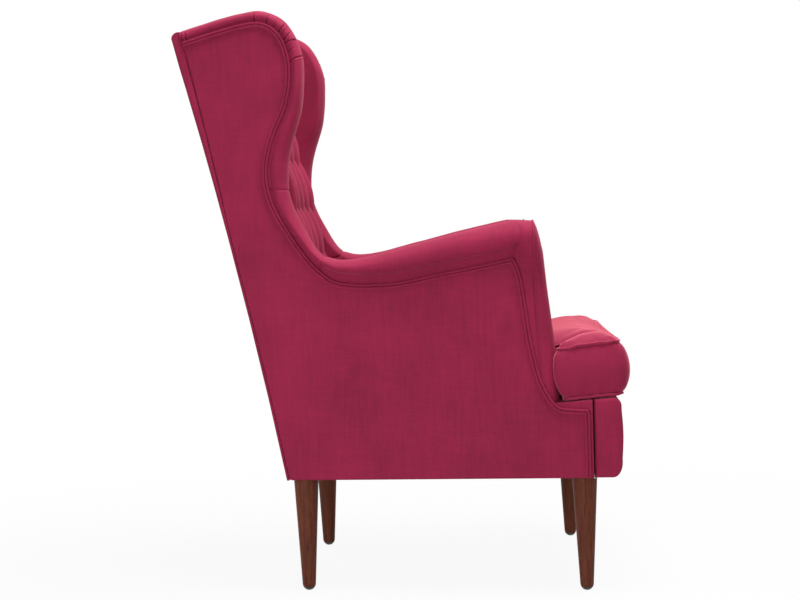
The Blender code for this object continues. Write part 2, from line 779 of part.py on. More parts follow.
def make_base_rails(timber):
    """Front, rear and side rails of the seat frame, butted between the leg blocks."""
    block_inset = TIMBER_INSET + LEG_BLOCK + GAP
    front_y = TIMBER_FRONT_Y
    front = [
        (front_y, FRAME_Z),
        (front_y, seat_z(front_y, RAIL_BELOW)),
        (front_y + TIMBER, seat_z(front_y + TIMBER, RAIL_BELOW)),
        (front_y + TIMBER, FRAME_Z),
    ]
    across("front_rail", front, block_inset, timber)
    inner_y = back_inner_y(FRAME_Z) - TIMBER
    rear_top = seat_z(back_inner_y(BASE_Z + REAR_RAIL_READ_AT), RAIL_BELOW)
    rear = [
        (inner_y, FRAME_Z),
        (inner_y, seat_z(inner_y, RAIL_BELOW)),
        (back_inner_y(rear_top), rear_top),
        (back_inner_y(FRAME_Z), FRAME_Z),
    ]
    across("rear_rail", rear, block_inset, timber)
    start = TIMBER_FRONT_Y + LEG_BLOCK + GAP
    end = rear_block_front() - GAP
    side = [
        (start, FRAME_Z),
        (start, seat_z(start, RAIL_BELOW)),
        (end, seat_z(end, RAIL_BELOW)),
        (end, FRAME_Z),
    ]
    between_planes("side_rail", side, TIMBER_INSET, TIMBER_BACK, timber)


def arm_rail_bottom(y):
    """Height of the underside of the arm rail."""
    stations = smooth_curve(ROLL[int(RAIL_SPLIT):], ROLL_STEPS)
    for ahead, behind in zip(stations[1:], stations):
        if ahead[0] <= y <= behind[0]:
            share = (y - ahead[0]) / (behind[0] - ahead[0])
            return BASE_Z + ahead[1] + (behind[1] - ahead[1]) * share - RAIL_DROP
    return BASE_Z + stations[0][1] - RAIL_DROP


def post_front_y(z):
    return back_inner_y(z, POST_DEPTH)


def make_posts(timber):
    """Leaning back posts on the rear blocks and short arm posts on the side rails."""
    foot = rear_block_top() + GAP
    outline = back_edge(foot, frame_top()) + list(reversed(back_edge(foot, frame_top(), POST_DEPTH)))
    between_planes("back_post", outline, TIMBER_INSET, TIMBER_BACK, timber)
    foot_y = ARM_FRONT[-1][0] + ARM_POST_FOOT_SETBACK
    head_y = ROLL[-1][0] - ARM_POST_HEAD_SETBACK
    lower = [(y, seat_z(y, RAIL_BELOW) + GAP) for y in (foot_y, foot_y + ARM_POST_DEPTH)]
    upper = [(y, arm_rail_bottom(y) - GAP) for y in (head_y + ARM_POST_DEPTH, head_y)]
    between_planes("arm_post", lower + upper, TIMBER_INSET, TIMBER_BACK, timber)


def make_arm_and_wing_boards(timber):
    """The sawn arm rail and the wing board that stands on it, both under the roll's padding."""
    arm_stations = roll_stations(RAIL_SPLIT + 0.5, len(ROLL) - 1 - RAIL_END)
    top = [along_roll(station, share_of_way=timber_share(station)) for station in arm_stations]
    split_z = top[0][1]
    head_y = ROLL[-1][0] - ARM_POST_HEAD_SETBACK
    bottom_y = [station[0] for station in arm_stations if station[0] > head_y]
    bottom = [(y, arm_rail_bottom(y)) for y in reversed(bottom_y[1:])]
    low_z = bottom[-1][1]
    outline = top + bottom
    outline += [(post_front_y(low_z) - GAP, low_z), (post_front_y(split_z) - GAP, split_z)]
    between_planes("arm_rail", outline, TIMBER_INSET, TIMBER_BACK, timber)
    wing = []
    for station in roll_stations(WING_BOARD_START, RAIL_SPLIT):
        wing.append(along_roll(station, share_of_way=timber_share(station)))
    foot_z = split_z + GAP
    wing = [point for point in wing if point[1] > foot_z + LEAST_BOARD_STEP]
    wing.append((wing[-1][0], foot_z))
    outline = wing + list(reversed(back_edge(foot_z, frame_top(), POST_DEPTH + GAP)))
    between_planes("wing_board", outline, TIMBER_INSET, TIMBER_BACK, timber)


def make_back_rails(timber, cloth):
    """Top rail, lower back rail and the lining stretched between them."""
    post_inset = TIMBER_BACK + GAP
    top = frame_top()
    low = BASE_Z + TUCK_RAIL_RISE
    for name, low_z, high_z in (
            ("top_rail", top - TOP_RAIL_HEIGHT, top),
            ("lower_back_rail", low, low + TUCK_RAIL_HEIGHT)):
        outline = back_edge(low_z, high_z)
        outline += list(reversed(back_edge(low_z, high_z, TIMBER)))
        across(name, outline, post_inset, timber)
    front = TIMBER + GAP
    outline = back_edge(low, top, front)
    outline += list(reversed(back_edge(low, top, front + LINING)))
    across("back_lining", outline, ARM_THICKNESS + GAP, cloth)


# Seat platform

def make_seat_deck(cloth):
    inset = ARM_THICKNESS + GAP
    front = BASE_FRONT_Y
    rear = back_inner_y(seat_z(BACK_FOOT_Y, DECK_THICKNESS), DECK_REAR_GAP)
    outline = [
        (front, seat_z(front, DECK_THICKNESS + GAP)),
        (front, seat_z(front, GAP)),
        (rear, seat_z(rear, GAP)),
        (rear, seat_z(rear, DECK_THICKNESS + GAP)),
    ]
    across("seat_deck", outline, inset, cloth)


def make_springs(steel):
    """Flat zigzag springs from the front rail to the rear rail, fanning out to the front."""
    start = TIMBER_FRONT_Y + TIMBER / 2
    end = back_inner_y(FRAME_Z) - TIMBER / 2
    waves = round((end - start) / SPRING_PITCH)
    below = DECK_THICKNESS + 2 * GAP + SPRING_RADIUS
    for number in range(SPRING_COUNT):
        share = number - (SPRING_COUNT - 1) / 2
        path = []
        for wave in range(waves):
            for step in (0.0, 0.33, 0.67):
                place = wave + step
                y = start + (end - start) * place / waves
                lean = share * SPRING_SPACING * side_x(y) / side_x(start)
                wave_height = math.sin(math.pi * place)
                swing = math.copysign(abs(wave_height) ** SPRING_SQUARENESS, wave_height)
                path.append(Vector((lean + SPRING_SWING * swing, y, seat_z(y, below))))
        rings = sweep(path, SPRING_RADIUS, 5)
        loft("seat_spring_%d" % (number + 1), rings, steel, crease_angle=80)


def sweep(path, radius, sides, closed=False):
    """Rings round a path that keeps close to one level plane."""
    rings = []
    count = len(path)
    for index, centre in enumerate(path):
        before = path[index - 1] if closed or index else centre
        after = path[(index + 1) % count] if closed or index < count - 1 else centre
        along = (after - before).normalized()
        level = along.cross(Vector((0, 0, 1))).normalized()
        upright = level.cross(along)
        rings.append([
            tuple(centre + level * radius * math.cos(a) + upright * radius * math.sin(a))
            for a in turn(sides)])
    return rings


def make_dust_cover(cloth):
    """Thin cloth under the frame, cut away round the legs."""
    high = BASE_Z
    low = high - DUST_CLOTH
    front = BASE_FRONT_Y + DUST_MARGIN
    rear = BACK_FOOT_Y - DUST_MARGIN
    clear = LEG_TOP_RADIUS + DUST_LEG_CLEARANCE
    front_notch = FRONT_LEG_Y + clear
    rear_notch = REAR_LEG_Y - clear
    leg_inner = LEG_INSET + clear
    left = [
        (side_x(front, leg_inner), front),
        (side_x(front_notch, leg_inner), front_notch),
        (side_x(front_notch, DUST_MARGIN), front_notch),
        (side_x(rear_notch, DUST_MARGIN), rear_notch),
        (side_x(rear_notch, leg_inner), rear_notch),
        (side_x(rear, leg_inner), rear),
    ]
    plan = left + [(-x, y) for x, y in reversed(left)]
    rings = [[(x, y, z) for x, y in plan] for z in (low, high)]
    loft("dust_cover", rings, cloth)


# Legs

def turned(name, profile, x, y, sides, finish):
    """A solid of revolution about an upright axis; the profile starts and ends on the axis."""
    mesh_edit = bmesh.new()
    rows = []
    for radius, z in profile:
        if radius == 0:
            rows.append([mesh_edit.verts.new((x, y, z))])
        else:
            rows.append([
                mesh_edit.verts.new((x + radius * math.cos(a), y + radius * math.sin(a), z))
                for a in turn(sides)])
    for row, following in zip(rows, rows[1:]):
        for index in range(sides):
            ahead = (index + 1) % sides
            corners = [row[index % len(row)], row[ahead % len(row)]]
            corners += [following[ahead % len(following)], following[index % len(following)]]
            unique = list(dict.fromkeys(corners))
            mesh_edit.faces.new(unique)
    return add_solid(name, mesh_edit, finish)


def make_legs(walnut, steel, dark):
    """Tapered legs, the glides under them and the hanger bolts that hold them."""
    foot = GLIDE_HEIGHT + GAP
    top = foot + LEG_LENGTH
    bolt_low = BASE_Z - LEG_BOLT_LENGTH / 2
    bolt_high = BASE_Z + LEG_BOLT_LENGTH / 2
    hole = LEG_BOLT_RADIUS + GAP
    leg_profile = [
        (0, foot),
        (LEG_FOOT_RADIUS - LEG_EASING, foot),
        (LEG_FOOT_RADIUS, foot + LEG_EASING),
        (LEG_TOP_RADIUS, top - LEG_EASING),
        (LEG_TOP_RADIUS - LEG_EASING, top),
        (hole, top),
        (hole, bolt_low - GAP),
        (0, bolt_low - GAP),
    ]
    bolt_profile = [
        (0, bolt_low),
        (LEG_BOLT_RADIUS, bolt_low),
        (LEG_BOLT_RADIUS, bolt_high),
        (0, bolt_high),
    ]
    glide_profile = [(0, 0)]
    glide_profile += [(GLIDE_RADIUS * wide, GLIDE_HEIGHT * high) for wide, high in GLIDE_PROFILE]
    glide_profile += [(0, GLIDE_HEIGHT)]
    for end, y in (("front", FRONT_LEG_Y), ("rear", REAR_LEG_Y)):
        for hand, sign in (("left", 1), ("right", -1)):
            x = sign * side_x(y, LEG_INSET)
            turned("leg_%s_%s" % (end, hand), leg_profile, x, y, 18, walnut)
            turned("leg_bolt_%s_%s" % (end, hand), bolt_profile, x, y, 10, steel)
            turned("glide_%s_%s" % (end, hand), glide_profile, x, y, 12, dark)


# Loose cushion

def cushion_half_width(y):
    """Half width of the part of the cushion that lies between the arms."""
    return side_x(y, ARM_THICKNESS + CUSHION_CLEARANCE + CUSHION_BULGE)


def cushion_plan():
    """Seam points of the T-shaped cushion as a grid of cells, keyed by column and row."""
    ear_rear = ARM_FRONT[-1][0] - CUSHION_CLEARANCE - CUSHION_BULGE
    front = SEAT_FRONT_Y
    ear_rows = 4
    stem_rows = 12
    stem_columns = 6
    ear_columns = 3
    rows = [front + (ear_rear - front) * row / ear_rows for row in range(ear_rows)]
    rows += [ear_rear + (CUSHION_REAR_Y - ear_rear) * row / stem_rows for row in range(stem_rows + 1)]
    grid = {}
    for row, y in enumerate(rows):
        stem = cushion_half_width(max(y, ear_rear))
        for column in range(-stem_columns, stem_columns + 1):
            grid[(column, row)] = Vector((stem * column / stem_columns, y))
        if row <= ear_rows:
            for step in range(1, ear_columns + 1):
                x = stem + (CUSHION_HALF_WIDTH - stem) * step / ear_columns
                grid[(stem_columns + step, row)] = Vector((x, y))
                grid[(-stem_columns - step, row)] = Vector((-x, y))
    cells = [
        (column, row)
        for column, row in grid
        if (column + 1, row) in grid and (column, row + 1) in grid and (column + 1, row + 1) in grid]
    edge_column = stem_columns + ear_columns
    for column in range(-edge_column, edge_column + 1):
        share = grid[(column, 0)].x / CUSHION_HALF_WIDTH
        grid[(column, 0)].y += CUSHION_DRAW * (1 - share * share)
    corners = [
        (edge_column, 0, -1, 1),
        (edge_column, ear_rows, -1, -1),
        (stem_columns, len(rows) - 1, -1, -1),
    ]
    for column, row, inward_x, inward_y in corners:
        for sign in (1, -1):
            eased = Vector((sign * inward_x, inward_y)) * CUSHION_CORNER * CUSHION_CORNER_DRAW
            grid[(sign * column, row)] = grid[(sign * column, row)] + eased
    return grid, cells


def walk_outline(cells):
    """Outline keys from the directed cell edges that no neighbour shares."""
    directed = set()
    for column, row in cells:
        square = [(column, row), (column + 1, row), (column + 1, row + 1), (column, row + 1)]
        directed.update(zip(square, square[1:] + square[:1]))
    onward = {start: end for start, end in directed if (end, start) not in directed}
    start = min(onward)
    loop = [start]
    while onward[loop[-1]] != start:
        loop.append(onward[loop[-1]])
    return loop


def outward_normals(points):
    """Outward directions round a loop of plan points that runs anticlockwise."""
    normals = []
    for index, point in enumerate(points):
        before = points[index - 1]
        after = points[(index + 1) % len(points)]
        along = ((point - before).normalized() + (after - point).normalized()).normalized()
        normals.append(Vector((along.y, -along.x)))
    return normals


def make_cushion(velvet, steel):
    """The loose T cushion with its crown, bulging boxing, two piped seams and zip slider."""
    grid, cells = cushion_plan()
    keys = walk_outline(cells)
    loop = [grid[key] for key in keys]
    normals = outward_normals(loop)
    low_seam = CUSHION_BELLY
    high_seam = CUSHION_BELLY + CUSHION_BOXING

    def edge_distance(point):
        nearest = 1.0
        for index, start in enumerate(loop):
            end = loop[(index + 1) % len(loop)]
            line = end - start
            share = min(max((point - start).dot(line) / line.length_squared, 0.0), 1.0)
            nearest = min(nearest, (point - start - line * share).length)
        return nearest

    mesh_edit = bmesh.new()
    on_edge = set(keys)

    def layer(rise_at_edge, swell, reach):
        corners = {}
        for key, point in grid.items():
            share = 0.0 if key in on_edge else min(edge_distance(point) / reach, 1.0)
            rise = rise_at_edge + swell * (1 - (1 - share) ** CUSHION_SWELL_POWER)
            corners[key] = mesh_edit.verts.new((point.x, point.y, seat_z(point.y, -rise)))
        for column, row in cells:
            mesh_edit.faces.new([
                corners[(column, row)],
                corners[(column + 1, row)],
                corners[(column + 1, row + 1)],
                corners[(column, row + 1)]])
        return corners

    top = layer(high_seam, CUSHION_CROWN, CUSHION_CROWN_REACH)
    bottom = layer(low_seam, GAP - CUSHION_BELLY, CUSHION_BELLY_REACH)
    rows = [[bottom[key] for key in keys]]
    for share in BOXING_LEVELS:
        bow = math.sin(math.pi * share) ** BOXING_FULLNESS
        rise = low_seam + CUSHION_BOXING * share
        row = []
        for point, normal in zip(loop, normals):
            bulge = bow * (CUSHION_BULGE + CUSHION_FRONT_BULGE * max(-normal.y, 0.0))
            if point.y > SEAT_FRONT_Y + CUSHION_CORNER:
                bulge = bow * CUSHION_BULGE
            row.append(mesh_edit.verts.new((
                point.x + normal.x * bulge,
                point.y + normal.y * bulge,
                seat_z(point.y, -rise))))
        rows.append(row)
    rows.append([top[key] for key in keys])
    for row, following in zip(rows, rows[1:]):
        for index in range(len(row)):
            ahead = (index + 1) % len(row)
            mesh_edit.faces.new((row[index], row[ahead], following[ahead], following[index]))
    add_solid("seat_cushion", mesh_edit, velvet, 50)

    stand_off = WELT_RADIUS + CUSHION_WELT_STAND
    stand_out = stand_off * CUSHION_WELT_OUT
    for name, rise, lift in (
            ("cushion_welt_top", high_seam, 1),
            ("cushion_welt_bottom", low_seam, -1)):
        path = [
            Vector((
                point.x + normal.x * stand_out,
                point.y + normal.y * stand_out,
                seat_z(point.y, -rise - lift * stand_off * CUSHION_WELT_UP)))
            for point, normal in zip(loop, normals)]
        loft(name, sweep(path, WELT_RADIUS, 6, closed=True), velvet, closed=True)

    length, depth, height = ZIP_SLIDER
    rear = CUSHION_REAR_Y + CUSHION_BULGE + GAP
    x = ZIP_TRAVEL / 2
    z = seat_z(CUSHION_REAR_Y, -low_seam - CUSHION_BOXING / 2)
    plan = [
        (x - length / 2, rear),
        (x + length / 2, rear),
        (x + length / 2, rear + depth * ZIP_SLIDER_SIDE),
        (x + length / 3, rear + depth),
        (x - length / 3, rear + depth),
        (x - length / 2, rear + depth * ZIP_SLIDER_SIDE),
    ]
    rings = [[(px, py, pz) for px, py in plan] for pz in (z - height / 2, z + height / 2)]
    loft("zip_slider", rings, steel)


def main():
    clear_scene()
    velvet = make_material("velvet", (0.33, 0.020, 0.060), 0.85)
    timber = make_material("beech", (0.62, 0.44, 0.27), 0.6)
    walnut = make_material("walnut", (0.13, 0.045, 0.025), 0.45)
    steel = make_material("steel", (0.55, 0.55, 0.57), 0.35, 1.0)
    cloth = make_material("lining_cloth", (0.06, 0.055, 0.055), 0.9)
    dark = make_material("glide_plastic", (0.03, 0.025, 0.022), 0.5)
    make_outer_sides(velvet)
    make_rolls(velvet)
    make_side_welts(velvet)
    make_inside_wings(velvet)
    make_inside_arms(velvet)
    make_arm_fronts(velvet)
    make_front_corners(velvet)
    make_front_border(velvet)
    make_outer_back(velvet)
    make_inside_back(velvet)
    make_leg_blocks(timber)
    make_base_rails(timber)
    make_posts(timber)
    make_arm_and_wing_boards(timber)
    make_back_rails(timber, cloth)
    make_seat_deck(cloth)
    make_springs(steel)
    make_dust_cover(cloth)
    make_legs(walnut, steel, dark)
    make_cushion(velvet, steel)


main()
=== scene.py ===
"""Velvet wing armchair: covers, loose cushion, turned legs and studio round its packed frame."""

import math

import bmesh
import bpy
import numpy as np
from bpy.props import FloatProperty, FloatVectorProperty, IntProperty, PointerProperty
from mathutils import Matrix, Vector


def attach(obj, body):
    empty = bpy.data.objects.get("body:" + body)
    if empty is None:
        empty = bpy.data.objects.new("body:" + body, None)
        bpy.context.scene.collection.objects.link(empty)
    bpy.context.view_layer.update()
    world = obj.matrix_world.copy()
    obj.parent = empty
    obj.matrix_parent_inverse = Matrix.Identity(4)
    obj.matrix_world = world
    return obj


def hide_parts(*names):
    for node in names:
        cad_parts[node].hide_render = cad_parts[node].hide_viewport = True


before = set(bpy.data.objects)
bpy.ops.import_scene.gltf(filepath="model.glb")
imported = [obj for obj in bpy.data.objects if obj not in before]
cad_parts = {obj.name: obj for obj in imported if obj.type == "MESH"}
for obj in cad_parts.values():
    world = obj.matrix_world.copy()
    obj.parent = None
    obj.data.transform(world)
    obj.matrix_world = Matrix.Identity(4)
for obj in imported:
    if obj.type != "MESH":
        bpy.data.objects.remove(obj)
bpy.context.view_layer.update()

bl_info = {
    "name": "Velvet Wing Armchair",
    "version": (1, 0, 0),
    "blender": (4, 5, 0),
    "location": "View3D > Sidebar > Armchair",
    "description": "Builds the covers, cushion, legs and finishes of a wing armchair on its frame",
    "category": "Object",
}

# Sizes that the covers share with the frame, in metres. A y is a depth with the front of the
# chair at -Y, a rise is a height above the base, and proud is a distance out of the side panel.

# The chair's two sides, and the gap between neighbouring pieces
SIDES = ((1, "left"), (-1, "right"))
GAP = 0.0003

# Base: its height, its half widths at the front and rear legs, and its depths
BASE_Z = 0.210
FRONT_HALF_WIDTH = 0.352
REAR_HALF_WIDTH = 0.2958
FRONT_LEG_Y = -0.332
REAR_LEG_Y = 0.1847
LEG_INSET = 0.037
TAPER = (FRONT_HALF_WIDTH - REAR_HALF_WIDTH) / (REAR_LEG_Y - FRONT_LEG_Y)
BASE_FRONT_Y = -0.3477

# Timber under the covers, and how far they turn in over it
TIMBER = 0.028
TIMBER_INSET = 0.0085
TIMBER_BACK = 0.0365
TIMBER_FRONT_Y = -0.3414
POST_DEPTH = 0.045
COVER_TURN_IN = POST_DEPTH + 0.003

# Outside panels, arms and the roll over them
PANEL_THICKNESS = 0.005
ARM_THICKNESS = 0.072
ROLL_CREST_INSET = 0.030
ROLL_PADDING = 0.018

# Outside back: its line, its padded edge and its top corners
BACK_FOOT_Y = 0.218
BACK_HEIGHT = 0.832
BACK_LEAN = 0.2367
BACK_BOW = 0.0097
BACK_SKIN = 0.005
BACK_EDGE = 0.020
BACK_EDGE_FROM = 0.450
BACK_CORNER = 0.012
BACK_CORNER_LIFT = 0.0045

# Inside back: its crown, head and sides, the lining behind it and the lattice of its buttons
BACK_PAD_FOOT_Y = 0.0715
BACK_PAD_LEAN = 0.240
BACK_PAD_TOP_RADIUS = 0.045
HEAD_FULLNESS = 0.006
HEAD_EASE = 0.045
PAD_SIDE_FULLNESS = 0.0045
LINING = 0.002
LINING_TOP = BACK_HEIGHT - 0.023
TUFT_WIDTH = 0.105
TUFT_HEIGHT = 0.095
TUFT_TOP_RISE = 0.740
TUFT_ROWS = 5

# Seat: the sloping plane under the cushion, and the deck
SEAT_FRONT_Y = -0.398
SEAT_FRONT_RISE = 0.1473
SEAT_SLOPE = 0.08
DECK_THICKNESS = 0.018

# Loose cushion: plan and levels, with an ear in front of each arm
CUSHION_HALF_WIDTH = 0.345
CUSHION_REAR_Y = 0.096
CUSHION_SIDE = 0.0835
CUSHION_BOXING = 0.094
CUSHION_BELLY = 0.006
CUSHION_TOP = CUSHION_BELLY + CUSHION_BOXING
EAR_REAR_Y = -0.2985
ZIP_HALF = 0.182

# How the seam of each ear's rear corner draws back and down, how far its top swells beside it,
# how far the boxing swells, and how much of the crown is lost where it is sat on and at the ears
EAR_DRAW = 0.0110
EAR_DROP = 0.0032
EAR_HEEL = 0.0070
BOXING_SWELL = 0.0045
NOSE_SWELL = 0.0125
HEEL_SWELL = 0.0118
SAT_ON_LOSS = 0.27
EAR_LOSS = 0.16
VALLEY_DEPTH = 0.0165
CROWN_ROUNDNESS = 2.2

# Mesh and small relief of the cushion's cover
COVER_STEP = 0.0075
BOXING_ROWS = 12
CELL = 0.010
CELL_CLEAR = 0.014
GATHER_REACH = 0.014
STITCH_DEPTH = 0.0008
SOFT_DEPTH = 0.0009
CREASE_DEPTH = 0.0006

# Legs and glides
LEG_LENGTH = 0.2034
LEG_TOP_RADIUS = 0.023
GLIDE_HEIGHT = 0.006
FOOT_RADIUS = 0.0125
FOOT_ROUND = 0.0125
FOOT_CURVE = 0.0132
BOLT_HOLE_RADIUS = 0.0043
BOLT_HOLE_DEPTH = 0.0405
AXIS_RADIUS = 0.0001

# Welt point, crest point and overhang at each station of the roll, from the top of the back
# round the wing and along the arm to its front: depth and height above the base
ROLL = np.array([
    (0.3893, 0.813, 0.397, 0.839, 0.004),
    (0.357, 0.822, 0.361, 0.850, 0.004),
    (0.319, 0.832, 0.323, 0.860, 0.004),
    (0.281, 0.841, 0.283, 0.868, 0.004),
    (0.249, 0.844, 0.247, 0.872, 0.004),
    (0.228, 0.837, 0.213, 0.860, 0.004),
    (0.210, 0.820, 0.190, 0.838, 0.004),
    (0.198, 0.790, 0.173, 0.800, 0.005),
    (0.194, 0.750, 0.170, 0.748, 0.006),
    (0.203, 0.695, 0.175, 0.690, 0.006),
    (0.227, 0.641, 0.193, 0.632, 0.006),
    (0.242, 0.586, 0.203, 0.585, 0.006),
    (0.2395, 0.536, 0.203, 0.533, 0.006),
    (0.219, 0.484, 0.184, 0.480, 0.008),
    (0.170, 0.409, 0.152, 0.428, 0.013),
    (0.127, 0.369, 0.122, 0.410, 0.018),
    (0.090, 0.359, 0.089, 0.4072, 0.019),
    (0.049, 0.357, 0.049, 0.4135, 0.020),
    (-0.003, 0.360, -0.004, 0.4263, 0.020),
    (-0.0765, 0.374, -0.078, 0.4445, 0.020),
    (-0.150, 0.387, -0.152, 0.4608, 0.020),
    (-0.208, 0.399, -0.2135, 0.4723, 0.020),
])
ROLL_END = len(ROLL) - 1
WING_SEAM = 14.5
WING_CROSS_SEAM = 11.9
ROLL_SQUARENESS = 0.15
FULL_OVERHANG = 0.020
FULL_WIDTH = 0.045
UNDERCUT = 0.007
UNDERCUT_GAIN = 0.016
SHOULDER_SHARE = 0.30
FILLING_SWELL = 0.0007

# Lower edge of the inner faces: down behind the back pad from the top of the wing to the turn,
# then down to the seat over this share of the arm, and forward just above it
INNER_TOP = 0.800
INNER_TURN = 0.375
INNER_FOOT = 0.115
INNER_SHARE = 0.30
INNER_CLEAR = 0.004
INNER_FRONT_Y = -0.2560

WING_FULLNESS = 0.0032
ROLL_END_BOW = 0.0115
END_CREASE = 0.0022

# The welt from the corner under the roll down the front of the arm and round the toe
FRONT_WELT = np.array([
    (-0.208, 0.399),
    (-0.220, 0.363),
    (-0.232, 0.272),
    (-0.242, 0.217),
    (-0.255, 0.171),
    (-0.281, 0.130),
    (-0.315, 0.122),
])
TOE_WELT = (-0.3375, 0.121)

# Pleats of the wing: station and turn at their upper end, then at their end by the welt, where
# a turn of 0 is the welt and 1 is the crest; last how deep each is folded
WING_PLEATS = [
    (0.10, 0.80, 0.12, 0.04, 0.7),
    (0.36, 0.75, 0.36, 0.04, 0.6),
    (2.90, 0.60, 3.00, 0.15, 0.25),
    (3.75, 0.66, 3.85, 0.10, 0.8),
    (4.58, 0.68, 4.68, 0.10, 1.0),
    (5.22, 0.50, 5.30, 0.10, 0.45),
    (5.72, 0.78, 5.81, 0.00, 1.0),
    (6.02, 0.45, 6.10, 0.00, 0.5),
    (6.26, 0.66, 6.37, 0.00, 0.9),
    (6.65, 0.90, 6.52, 0.00, 1.0),
    (6.95, 0.50, 6.98, 0.00, 0.5),
    (7.29, 1.05, 7.45, 0.00, 0.9),
]

# Stretches of the wing's roll that hold the pleats, and are meshed more finely
PLEATED_RUNS = ((-0.01, 0.6), (3.4, 7.8))

# Height at which the facing starts to widen under the roll, the share of the roll's turn at which
# it has done so, and the rearmost depth of the arm front
FACING_FLARE = 0.352
FACING_TURN = 0.40
FACING_REAR_Y = -0.2565

# Height above the base, depth of the facing's seam and how far the facing stands in front of it
ARM_FACING = np.array([
    (0.130, -0.2615, 0.0290),
    (0.215, -0.2555, 0.0310),
    (0.266, -0.2520, 0.0290),
    (0.347, -0.2490, 0.0225),
    (0.413, -0.2480, 0.0175),
    (0.4585, -0.2475, 0.0085),
    (0.480, -0.2475, 0.0050),
])


# Curves and surfaces

def smooth(points, places):
    """Points of a smooth curve through the given rows, at fractional row numbers."""
    points = np.asarray(points, float)
    last = len(points) - 1
    places = np.clip(np.asarray(places, float), 0, last)
    span = np.minimum(places.astype(int), last - 1)
    u = (places - span)[:, None]
    a, b, c, d = (points[np.clip(span + shift, 0, last)] for shift in (-1, 0, 1, 2))
    return 0.5 * (2 * b + (c - a) * u + (2 * a - 5 * b + 4 * c - d) * u * u
                  + (3 * b - a - 3 * c + d) * u ** 3)


def ease(value):
    """A smooth step from 0 to 1."""
    value = np.clip(value, 0.0, 1.0)
    return value * value * (3 - 2 * value)


def unit(vectors):
    """Vectors brought to a length of 1."""
    return vectors / np.maximum(np.linalg.norm(vectors, axis=-1, keepdims=True), 1e-12)


def run_along(line):
    """Length of a line from its start to each of its points."""
    return np.concatenate([[0], np.cumsum(np.hypot(*np.diff(line, axis=0).T))])


def quarter(count):
    """Angles of a quarter turn."""
    return np.linspace(0, math.pi / 2, count)


def rounding(count, depth, height):
    """Points round a corner, as how far each stands back from its two faces."""
    return [(depth * (1 - math.sin(turn)), height * (1 - math.cos(turn)))
            for turn in quarter(count)]


def full_turn(sides):
    """Angles of the points round a ring."""
    return np.linspace(0, 2 * math.pi, sides, endpoint=False)


def edge_round(distance, radius):
    """How far a rounded edge stands back at a distance from it."""
    inside = np.clip(1 - distance / radius, 0.0, 1.0)
    return radius * (1 - np.sqrt(1 - inside ** 2))


def side_x(y, inset=0.0):
    """Half width of the chair at a depth, less a distance inwards from the side panel's face."""
    return FRONT_HALF_WIDTH - TAPER * (y - FRONT_LEG_Y) - inset


def seat_z(y, above=0.0):
    """The sloping plane that the loose cushion lies on."""
    return BASE_Z + SEAT_FRONT_RISE - SEAT_SLOPE * (y - SEAT_FRONT_Y) + above


def back_levels():
    """Heights above the base at which the line of the back turns a little."""
    low = BACK_EDGE_FROM * np.arange(3) / 3
    high = BACK_EDGE_FROM + (BACK_HEIGHT - BACK_EDGE_FROM) * np.arange(5) / 4
    return np.concatenate([low, high])


def back_y(rise):
    """The outer face of the back, read from straight runs between its levels."""
    levels = back_levels()
    share = levels / BACK_HEIGHT
    bowed = BACK_FOOT_Y + BACK_LEAN * levels - BACK_BOW * 4 * share * (1 - share)
    return np.interp(rise, levels, bowed)


def back_edge_width(rise):
    """The outside back swells to a padded edge towards the top."""
    levels = back_levels()
    share = np.clip((levels - BACK_EDGE_FROM) / (BACK_HEIGHT - BACK_EDGE_FROM), 0.0, 1.0)
    return np.interp(rise, levels, BACK_SKIN + (BACK_EDGE - BACK_SKIN) * share)


def back_inner_y(rise, inwards=0.0):
    """The inner face of the outside back, or so far in front of it."""
    return back_y(rise) - back_edge_width(rise) - GAP - inwards


def on_side(side, view, proud):
    """Points of one side, from side-view points and how far they stand proud of the panel."""
    y = view[..., 0]
    return np.stack([side * (side_x(y) + proud), y, view[..., 1] + BASE_Z], axis=-1)


def ring_faces(count, size, closed=False):
    """Faces between rings of so many points, and from the last to the first where it closes."""
    faces = []
    for ring in range(count if closed else count - 1):
        low = ring * size
        high = (ring + 1) % count * size
        for index in range(size):
            ahead = (index + 1) % size
            faces.append((low + index, low + ahead, high + ahead, high + index))
    return faces


class Shells:
    """Points and faces of a piece made of one or more closed shells."""

    def __init__(self):
        self.points = []
        self.faces = []

    def add(self, points, faces):
        """Take one closed shell and turn its faces to point out."""
        points = np.asarray(points, float).reshape(-1, 3)
        corners = np.array([
            (face[0], face[k], face[k + 1]) for face in faces for k in range(1, len(face) - 1)])
        middle = points.mean(axis=0)
        a, b, c = (points[corners[:, k]] - middle for k in range(3))
        volume = np.einsum("ij,ij->", a, np.cross(b, c))
        start = len(self.points)
        step = 1 if volume >= 0 else -1
        self.points.extend(points.tolist())
        self.faces.extend([tuple(start + index for index in face[::step]) for face in faces])

    def loft(self, rings, closed=False):
        """A body through rings of points, capped at its ends unless it closes on itself."""
        rings = np.asarray(rings, float)
        count, size = rings.shape[:2]
        faces = ring_faces(count, size, closed)
        if not closed:
            faces.append(tuple(range(size)))
            faces.append(tuple(range((count - 1) * size, count * size)))
        self.add(rings, faces)


def lofted(rings, closed=False):
    """One shell through rings of points."""
    shells = Shells()
    shells.loft(rings, closed)
    return shells


def grid_faces(rows, columns):
    """Faces of an open grid with so many cells each way."""
    starts = [row * (columns + 1) + column for row in range(rows) for column in range(columns)]
    return [(low, low + 1, low + columns + 2, low + columns + 1) for low in starts]


def add_object(name, data):
    """Put a mesh, lamp or camera into the scene."""
    made = bpy.data.objects.new(name, data)
    bpy.context.scene.collection.objects.link(made)
    return made


def enter(piece, finish, body, stands_for):
    """Finish a piece, shade it smooth, tie it to its body and hide the parts of the frame that it
    stands for.
    """
    piece.data.materials.append(finish_of(finish))
    piece.data.shade_smooth()
    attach(piece, body)
    if stands_for:
        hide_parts(*stands_for)


